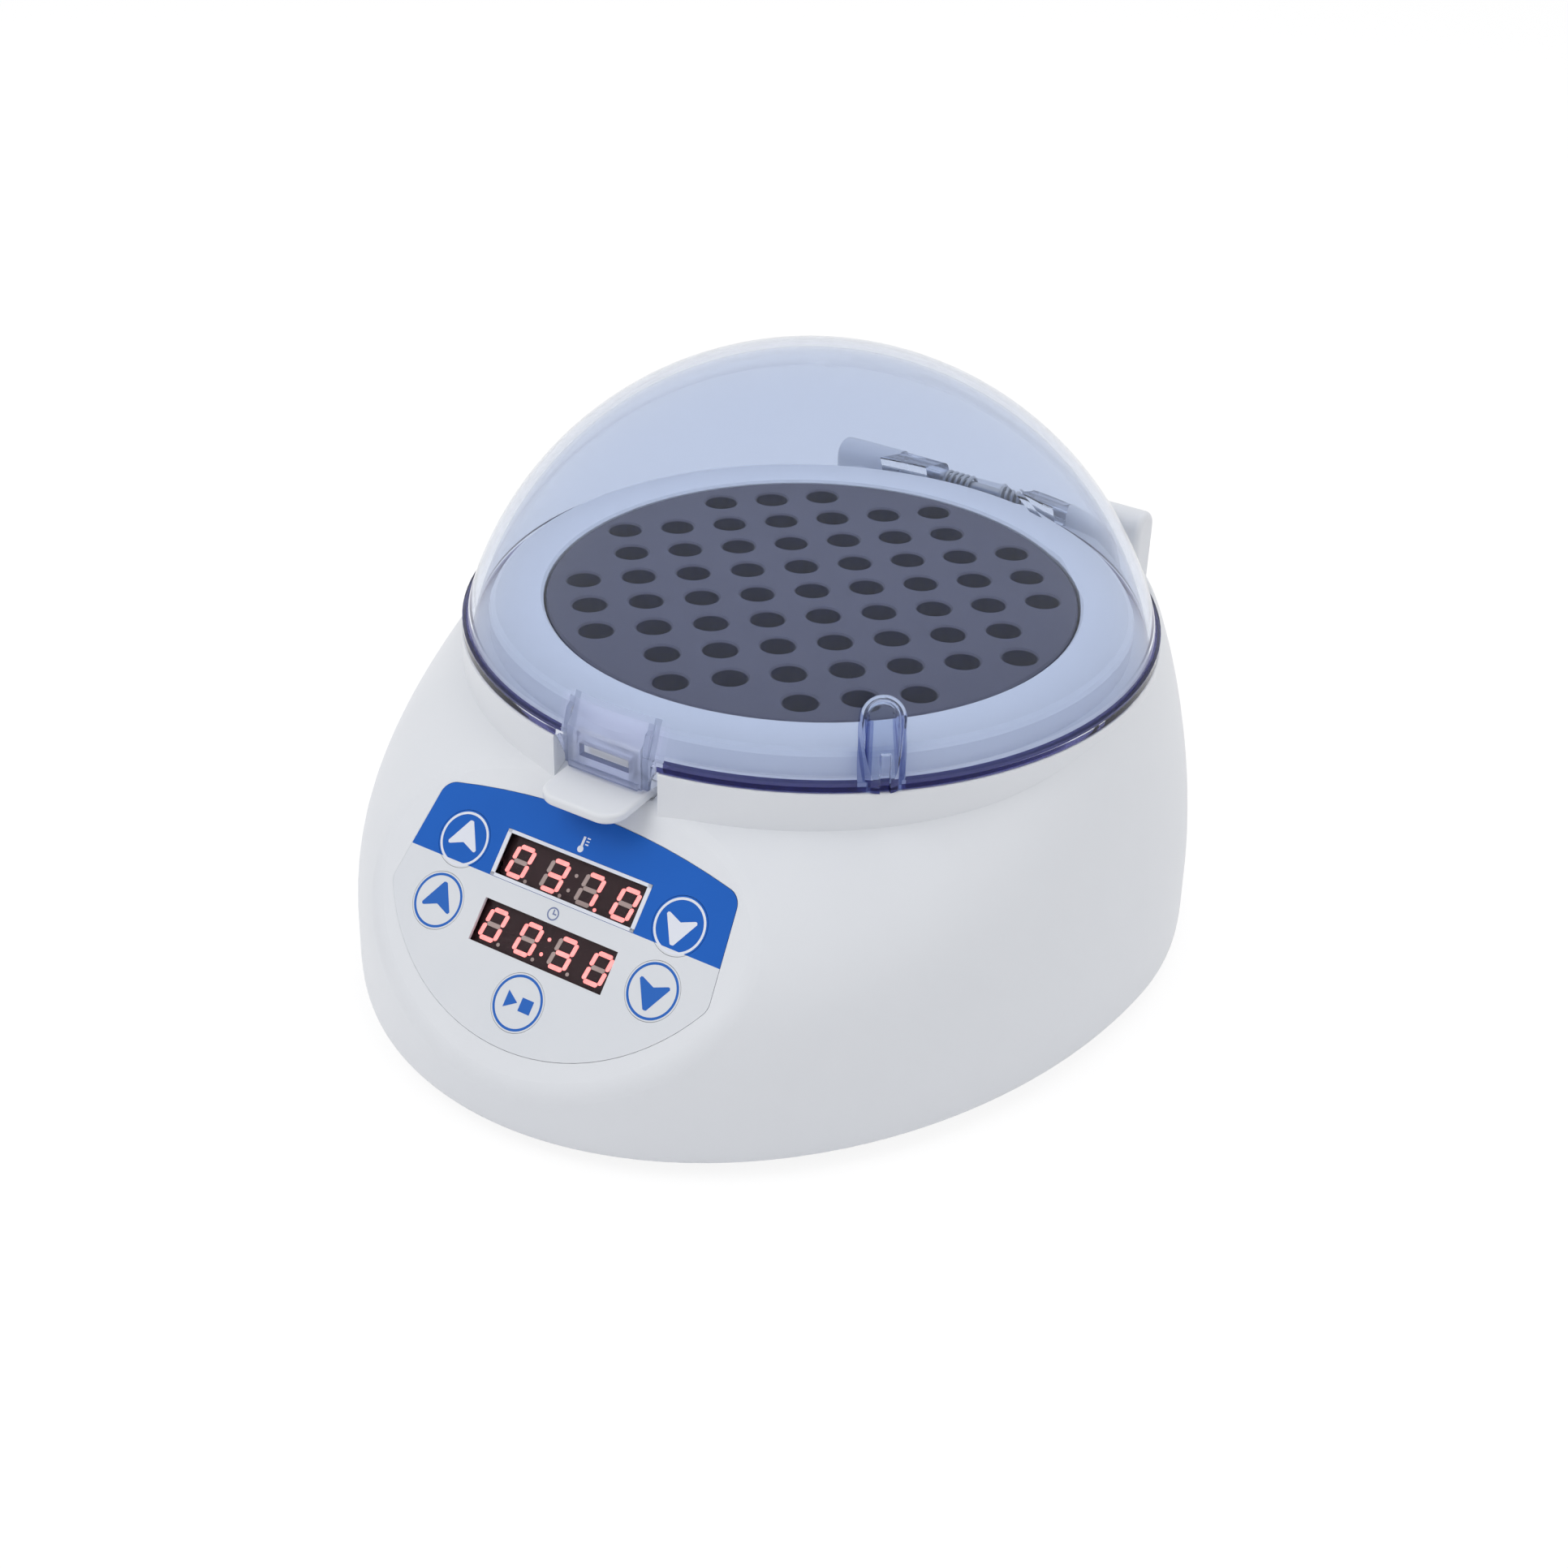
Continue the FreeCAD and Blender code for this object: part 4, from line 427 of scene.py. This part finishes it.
def lid_finish():
    """Tinted plastic: a dark line round the rim under a painted highlight, a frosted latch with painted shade on
    its cheeks and in its window, and blue edges on the grip.
    """
    material = clear_finish("lid_tint_and_painted_light", LID_TONE, roughness=0.0, transmission=0.98, ior=1.22, smudging=0.012)
    tree, surface, place = repaint(material)
    axes = add(tree, "ShaderNodeSeparateXYZ", links={"Vector": place}).outputs
    sideways = reckon(tree, "ABSOLUTE", axes["X"])
    latch = overlap(tree, under(tree, sideways, LATCH_HALF), under(tree, axes["Y"], BLOCK_Y - LATCH_FRONT),
                    under(tree, axes["Z"], FACE_Z + LATCH_RISE))
    rim = overlap(tree, reckon(tree, "SUBTRACT", 1.0, latch), under(tree, axes["Y"], BLOCK_Y + RIM_BACK))
    cheek = within(tree, sideways, CHEEK_MIDDLE, CHEEK_HALF)
    window = overlap(tree, within(tree, axes["Z"], WINDOW_MIDDLE, WINDOW_HALF_HEIGHT),
                     under(tree, sideways, WINDOW_HALF))
    # Where zones lie over each other, the later one counts
    zones = (
        # Painted highlight along the rim
        (overlap(tree, rim, under(tree, axes["Z"], RIM_HIGHLIGHT_TOP)), RIM_PAINTED_HIGHLIGHT),
        (overlap(tree, rim, under(tree, axes["Z"], RIM_LINE_TOP)), RIM_LINE_TONE),
        (latch, LATCH_TONE),
        # Painted shade on the latch's cheeks and in its window
        (overlap(tree, latch, cheek), CHEEK_PAINTED_SHADE),
        (overlap(tree, latch, window), WINDOW_PAINTED_SHADE),
        (overlap(tree, latch, under(tree, axes["Z"], LATCH_FOOT_TOP)), LATCH_FOOT_TONE),
        (grip_legs(tree, place, axes["Z"]), GRIP_TONE),
    )
    tone = LID_TONE
    for zone, zone_tone in zones:
        tone = mixed(tree, zone, tone, zone_tone)
    tree.links.new(tone, surface["Base Color"])
    frosted = overlap(tree, latch, under(tree, sideways, FROST_HALF))
    gloss = surface["Roughness"].links[0].from_socket
    tree.links.new(reckon(tree, "MULTIPLY_ADD", frosted, FROST_ROUGHNESS, gloss), surface["Roughness"])
    return material


def glowing(name, tone, paler, strength):
    """A lit segment: coloured plastic with uneven light behind it."""
    material = plastic(name, tone, tone, 0.5)
    tree, surface, place = repaint(material)
    cloud = add(tree, "ShaderNodeTexNoise", values={"Scale": 900.0, "Detail": 1.0}, links={"Vector": place})
    tree.links.new(mixed(tree, cloud.outputs["Fac"], tone, paler), surface["Emission Color"])
    surface["Emission Strength"].default_value = strength
    return material


def dress_nodes(looks):
    """Give each carried-over solid its finish."""
    for names, material in looks:
        for name in names.split():
            slots = NODES[name].data.materials
            slots.clear()
            slots.append(material)


# Printed and lit pieces on the panel

MERGE_WITHIN = 1e-7


def on_panel(depth=0.0, across=0.0, up=0.0):
    """From panel axes in millimetres to the object's own place in metres."""
    return (Matrix.Translation(Vector(PANEL_PLACE) * MM) @ Matrix.Rotation(PANEL_TILT, 4, "X")
            @ Matrix.Scale(MM, 4) @ Matrix.Translation((across, up, depth)))


def make_piece(name, mesh, material, body):
    """Turn a finished mesh into a piece that rides on a body."""
    bmesh.ops.remove_doubles(mesh, verts=mesh.verts, dist=MERGE_WITHIN)
    bmesh.ops.recalc_face_normals(mesh, faces=mesh.faces)
    data = bpy.data.meshes.new(name)
    mesh.to_mesh(data)
    mesh.free()
    data.materials.append(material)
    piece = bpy.data.objects.new(name, data)
    bpy.context.scene.collection.objects.link(piece)
    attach(piece, body)


def add_flat(mesh, outline, thickness, place):
    """A flat printed shape: a closed outline raised by its thickness."""
    corners = [mesh.verts.new((x, y, 0)) for x, y in outline]
    face = mesh.faces.new(corners)
    raised = bmesh.ops.extrude_face_region(mesh, geom=[face])
    top = [g for g in raised["geom"] if isinstance(g, bmesh.types.BMVert)]
    bmesh.ops.translate(mesh, verts=top, vec=(0, 0, thickness))
    bmesh.ops.transform(mesh, matrix=place, verts=corners + top)


def add_ring(mesh, outer, inner, thickness, place, steps=64):
    """A flat printed ring, spun from its section."""
    outline = ((inner, 0), (outer, 0), (outer, thickness), (inner, thickness))
    section = [mesh.verts.new((radius, 0, height)) for radius, height in outline]
    edges = [mesh.edges.new(pair) for pair in zip(section, section[1:] + section[:1])]
    before = set(mesh.verts) - set(section)
    bmesh.ops.spin(mesh, geom=section + edges, cent=(0, 0, 0), axis=(0, 0, 1), angle=2 * math.pi,
                   steps=steps, use_merge=True)
    made = [v for v in mesh.verts if v not in before]
    bmesh.ops.transform(mesh, matrix=place, verts=made)


def add_disc(mesh, radius, thickness, place, steps=20):
    """A flat round dot."""
    made = bmesh.ops.create_cone(mesh, cap_ends=True, segments=steps, radius1=radius, radius2=radius,
                                 depth=thickness)
    bmesh.ops.transform(mesh, matrix=place @ Matrix.Translation((0, 0, thickness / 2)), verts=made["verts"])


def bar(left, right, low, high):
    """The outline of an upright oblong."""
    return [(left, low), (right, low), (right, high), (left, high)]


# Printed marks, each drawn round its own middle: rings by outer and inner radius, the rest by outline
PRINT = 0.03
KEY_RING = (6.05, 5.5)
ARROW = [(0.1, 4.3), (-0.35, 4.2), (-3.7, -1.5), (-3.5, -1.95), (-3.1, -2.0), (0.1, -0.75),
         (3.3, -2.0), (3.7, -1.95), (3.9, -1.5), (0.55, 4.2)]
START_SIGN = [(-3.1, 1.9), (-3.1, -1.9), (-0.1, 0.0)]
STOP_SIGN = bar(0.7, 3.7, -1.5, 1.5)

THERMOMETER_PLACE = (-0.6, 21.8)
BULB_RADIUS = 0.75
STEM = bar(-0.3, 0.3, 0.6, 2.8)
TICK_LEFT, TICK_RIGHT, TICK_WIDTH = 0.7, 1.5, 0.28
TICKS = (1.1, 1.8, 2.5)

CLOCK_PLACE = (-0.5, 6.95)
CLOCK_RING = (1.45, 1.15)
CLOCK_HANDS = (bar(-0.15, 0.15, -0.15, 1.0), bar(0.15, 0.85, -0.15, 0.15))

# The line round the upper window, raised from just under the film's face
FRAME_HALF, FRAME_LOW, FRAME_HIGH = 19.05, 9.65, 20.35
FRAME_BAR, FRAME_POST = 0.75, 1.0
FRAME_DEPTH, FRAME_THICKNESS = -0.08, 0.2


def print_keys(white_ink, blue_ink):
    """Rings and arrowheads on the keys: white on the blue zone, blue on the white zone."""
    for name, (across, up) in KEYS.items():
        ink, slot = (white_ink, "key_blue") if "temperature" in name else (blue_ink, "key_white")
        middle = on_panel(FILM_TOP, across, up)
        mesh = bmesh.new()
        add_ring(mesh, *KEY_RING, PRINT, middle)
        if name.endswith("_up"):
            add_flat(mesh, ARROW, PRINT, middle)
        elif name.endswith("_down"):
            add_flat(mesh, ARROW, PRINT, middle @ Matrix.Rotation(math.pi, 4, "Z"))
        else:
            add_flat(mesh, START_SIGN, PRINT, middle)
            add_flat(mesh, STOP_SIGN, PRINT, middle)
        make_piece(name + "_print", mesh, ink, name)


def print_thermometer(ink):
    """The sign over the upper display: a bulb, its stem and three ticks."""
    middle = on_panel(FILM_TOP, *THERMOMETER_PLACE)
    mesh = bmesh.new()
    add_disc(mesh, BULB_RADIUS, PRINT, middle)
    add_flat(mesh, STEM, PRINT, middle)
    for tick in TICKS:
        add_flat(mesh, bar(TICK_LEFT, TICK_RIGHT, tick, tick + TICK_WIDTH), PRINT, middle)
    make_piece("thermometer_sign", mesh, ink, "base")


def print_frame(ink):
    """The line round the upper window: two bars and two posts."""
    mesh = bmesh.new()
    for outline in (bar(-FRAME_HALF, FRAME_HALF, FRAME_HIGH - FRAME_BAR, FRAME_HIGH),
                    bar(-FRAME_HALF, FRAME_HALF, FRAME_LOW, FRAME_LOW + FRAME_BAR),
                    bar(-FRAME_HALF, -FRAME_HALF + FRAME_POST, FRAME_LOW, FRAME_HIGH),
                    bar(FRAME_HALF - FRAME_POST, FRAME_HALF, FRAME_LOW, FRAME_HIGH)):
        add_flat(mesh, outline, FRAME_THICKNESS, on_panel(FRAME_DEPTH))
    make_piece("upper_window_frame", mesh, ink, "base")


def print_clock(ink):
    """The sign between the displays: a ring with two hands."""
    middle = on_panel(FILM_TOP, *CLOCK_PLACE)
    mesh = bmesh.new()
    add_ring(mesh, *CLOCK_RING, PRINT, middle, steps=32)
    for hand in CLOCK_HANDS:
        add_flat(mesh, hand, PRINT, middle)
    make_piece("clock_sign", mesh, ink, "base")


# The readouts: bars are named a to g, clockwise from the top, with g across the middle
SEGMENT_PLACES = {
    "a": (0, 1, "flat"), "d": (0, -1, "flat"), "g": (0, 0, "flat"),
    "b": (1, 0.5, "tall"), "c": (1, -0.5, "tall"), "e": (-1, -0.5, "tall"), "f": (-1, 0.5, "tall"),
}
DIGIT_SEGMENTS = {"0": "abcdef", "3": "abcdg", "7": "abc"}
DIGIT_HALF_WIDTH, DIGIT_HALF_HEIGHT = 2.05, 3.25
DIGIT_MIDDLES = (-14.1, -4.8, 4.5, 13.8)
TEMPERATURE_ROW = 14.5
TIME_ROW = -0.1
SEGMENT_THICKNESS = 0.08
SEGMENT_HALF = 0.5
SEGMENT_TIP = 0.2
SEGMENT_GAP = 0.12
SLANT = 0.14
POINT_RADIUS = 0.42
POINT_ASIDE = 2.9
POINT_DROP = 0.25
COLON_RISE = 1.75


def segment_outline(which):
    """One bar of a digit, with narrowed ends, leaning with the digit."""
    side, height, kind = SEGMENT_PLACES[which]
    x = side * DIGIT_HALF_WIDTH
    y = height * DIGIT_HALF_HEIGHT
    bevel = SEGMENT_HALF - SEGMENT_TIP
    if kind == "flat":
        reach = DIGIT_HALF_WIDTH - SEGMENT_GAP - SEGMENT_TIP
        points = [(-reach, -SEGMENT_TIP), (-reach, SEGMENT_TIP), (-reach + bevel, SEGMENT_HALF),
                  (reach - bevel, SEGMENT_HALF), (reach, SEGMENT_TIP), (reach, -SEGMENT_TIP),
                  (reach - bevel, -SEGMENT_HALF), (-reach + bevel, -SEGMENT_HALF)]
    else:
        reach = DIGIT_HALF_HEIGHT / 2 - SEGMENT_GAP - SEGMENT_TIP * abs(height)
        points = [(-SEGMENT_TIP, reach), (SEGMENT_TIP, reach), (SEGMENT_HALF, reach - bevel),
                  (SEGMENT_HALF, -reach + bevel), (SEGMENT_TIP, -reach), (-SEGMENT_TIP, -reach),
                  (-SEGMENT_HALF, -reach + bevel), (-SEGMENT_HALF, reach - bevel)]
    return [(x + px + SLANT * (y + py), y + py) for px, py in points]


def light_display(name, digits, row, points_lit, colon_lit, lit, unlit):
    """All segments and points of one display, the lit ones apart from the others."""
    shapes = {True: bmesh.new(), False: bmesh.new()}
    for digit, middle in zip(digits, DIGIT_MIDDLES):
        for which in SEGMENT_PLACES:
            on = which in DIGIT_SEGMENTS[digit]
            add_flat(shapes[on], segment_outline(which), SEGMENT_THICKNESS, on_panel(DISPLAY_FACE, middle, row))
    for number, middle in enumerate(DIGIT_MIDDLES[:-1]):
        place = on_panel(DISPLAY_FACE, middle + POINT_ASIDE, row - DIGIT_HALF_HEIGHT - POINT_DROP)
        add_disc(shapes[number in points_lit], POINT_RADIUS, SEGMENT_THICKNESS, place)
    colon = (DIGIT_MIDDLES[1] + DIGIT_MIDDLES[2]) / 2
    for rise in (COLON_RISE, -COLON_RISE):
        place = on_panel(DISPLAY_FACE, colon + SLANT * rise, row + rise)
        add_disc(shapes[colon_lit], POINT_RADIUS, SEGMENT_THICKNESS, place)
    make_piece(name + "_lit_segments", shapes[True], lit, "base")
    make_piece(name + "_dark_segments", shapes[False], unlit, "base")


def node_finishes():
    """The solids and their finishes."""
    return [
        ("top_cover release_tab",
         plastic("casing_white", (0.765, 0.785, 0.825), (0.73, 0.752, 0.795), 0.38, depth=0.015)),
        ("base_plate",
         plastic("base_grey", (0.42, 0.43, 0.45), (0.36, 0.37, 0.39), 0.55, depth=0.08, grain=1100.0)),
        ("rubber_feet",
         plastic("foot_rubber", (0.025, 0.025, 0.026), (0.018, 0.018, 0.019), 0.85, depth=0.2, grain=900.0)),
        ("case_screws pillar_screws block_pillars board_screws display_board_screws temperature_probe hinge_pin"
         " hinge_springs release_spring",
         metal("plated_steel", (0.62, 0.63, 0.64), (0.45, 0.46, 0.48), 0.28)),
        ("heating_block", block_finish()),
        ("heater_mat",
         plastic("silicone", (0.45, 0.12, 0.04), (0.38, 0.09, 0.03), 0.7, depth=0.2, grain=500.0)),
        ("clamp_plate heat_sink thermal_cutout",
         metal("mill_aluminium", (0.72, 0.73, 0.75), (0.58, 0.59, 0.62), 0.35)),
        ("insulation_disc insulation_sleeve",
         plastic("felt", (0.72, 0.70, 0.63), (0.58, 0.56, 0.50), 0.95, depth=0.9, grain=380.0)),
        ("main_board display_board",
         plastic("solder_mask", (0.012, 0.12, 0.05), (0.02, 0.19, 0.08), 0.35, depth=0.2, grain=700.0)),
        ("transformer",
         plastic("varnished_core", (0.06, 0.06, 0.065), (0.10, 0.10, 0.11), 0.5, depth=0.3, grain=900.0)),
        ("power_relay buzzer tact_switches power_inlet switch_frame",
         plastic("moulded_black", (0.03, 0.03, 0.033), (0.022, 0.022, 0.025), 0.5, depth=0.05, grain=1200.0)),
        ("smoothing_capacitor", plastic("shrunk_sleeve", (0.02, 0.03, 0.12), (0.015, 0.024, 0.10), 0.3)),
        ("terminal_block", plastic("terminal_green", (0.05, 0.30, 0.12), (0.04, 0.25, 0.10), 0.45)),
        ("fuse_clips inlet_pins", metal("plain_brass", (0.75, 0.58, 0.28), (0.55, 0.40, 0.18), 0.3)),
        ("fuse", clear_finish("fuse_glass", (0.95, 0.97, 0.97), roughness=0.02, transmission=1.0)),
        ("temperature_display time_display",
         plastic("display_ground", (0.020, 0.008, 0.010), (0.014, 0.006, 0.008), 0.35)),
        ("panel_overlay key_temperature_up key_temperature_down key_time_up key_time_down key_start_stop",
         film_finish()),
        ("display_panes",
         clear_finish("pane_smoke", (0.88, 0.80, 0.82), roughness=0.0, transmission=1.0, ior=1.03, smudging=0.004)),
        ("power_rocker",
         plastic("rocker_black", (0.02, 0.02, 0.022), (0.015, 0.015, 0.017), 0.25, depth=0.01)),
        ("dome_lid", lid_finish()),
        ("heater_leads probe_lead mains_leads",
         plastic("wire_cover", (0.45, 0.05, 0.04), (0.38, 0.04, 0.03), 0.55)),
        ("display_ribbon", plastic("ribbon_grey", (0.45, 0.45, 0.46), (0.38, 0.38, 0.40), 0.5)),
    ]


def main():
    place_camera()
    light_room()
    lay_floor()
    dress_nodes(node_finishes())
    white_ink = plastic("ink_white", (0.76, 0.79, 0.87), (0.73, 0.76, 0.85), 0.4)
    blue_ink = plastic("ink_blue", (0.002, 0.115, 0.50), (0.002, 0.105, 0.46), 0.4)
    grey_ink = plastic("ink_grey_blue", (0.16, 0.20, 0.38), (0.14, 0.18, 0.35), 0.4)
    print_keys(white_ink, blue_ink)
    print_thermometer(white_ink)
    print_frame(white_ink)
    print_clock(grey_ink)
    lit = glowing("segment_lit", (0.98, 0.22, 0.20), (1.0, 0.50, 0.48), 1.0)
    unlit = plastic("segment_unlit", (0.40, 0.38, 0.34), (0.33, 0.31, 0.28), 0.4)
    light_display("temperature", "0370", TEMPERATURE_ROW, {2}, False, lit, unlit)
    light_display("time", "0030", TIME_ROW, set(), True, lit, unlit)
    bpy.context.scene.view_settings.view_transform = "Standard"


main()
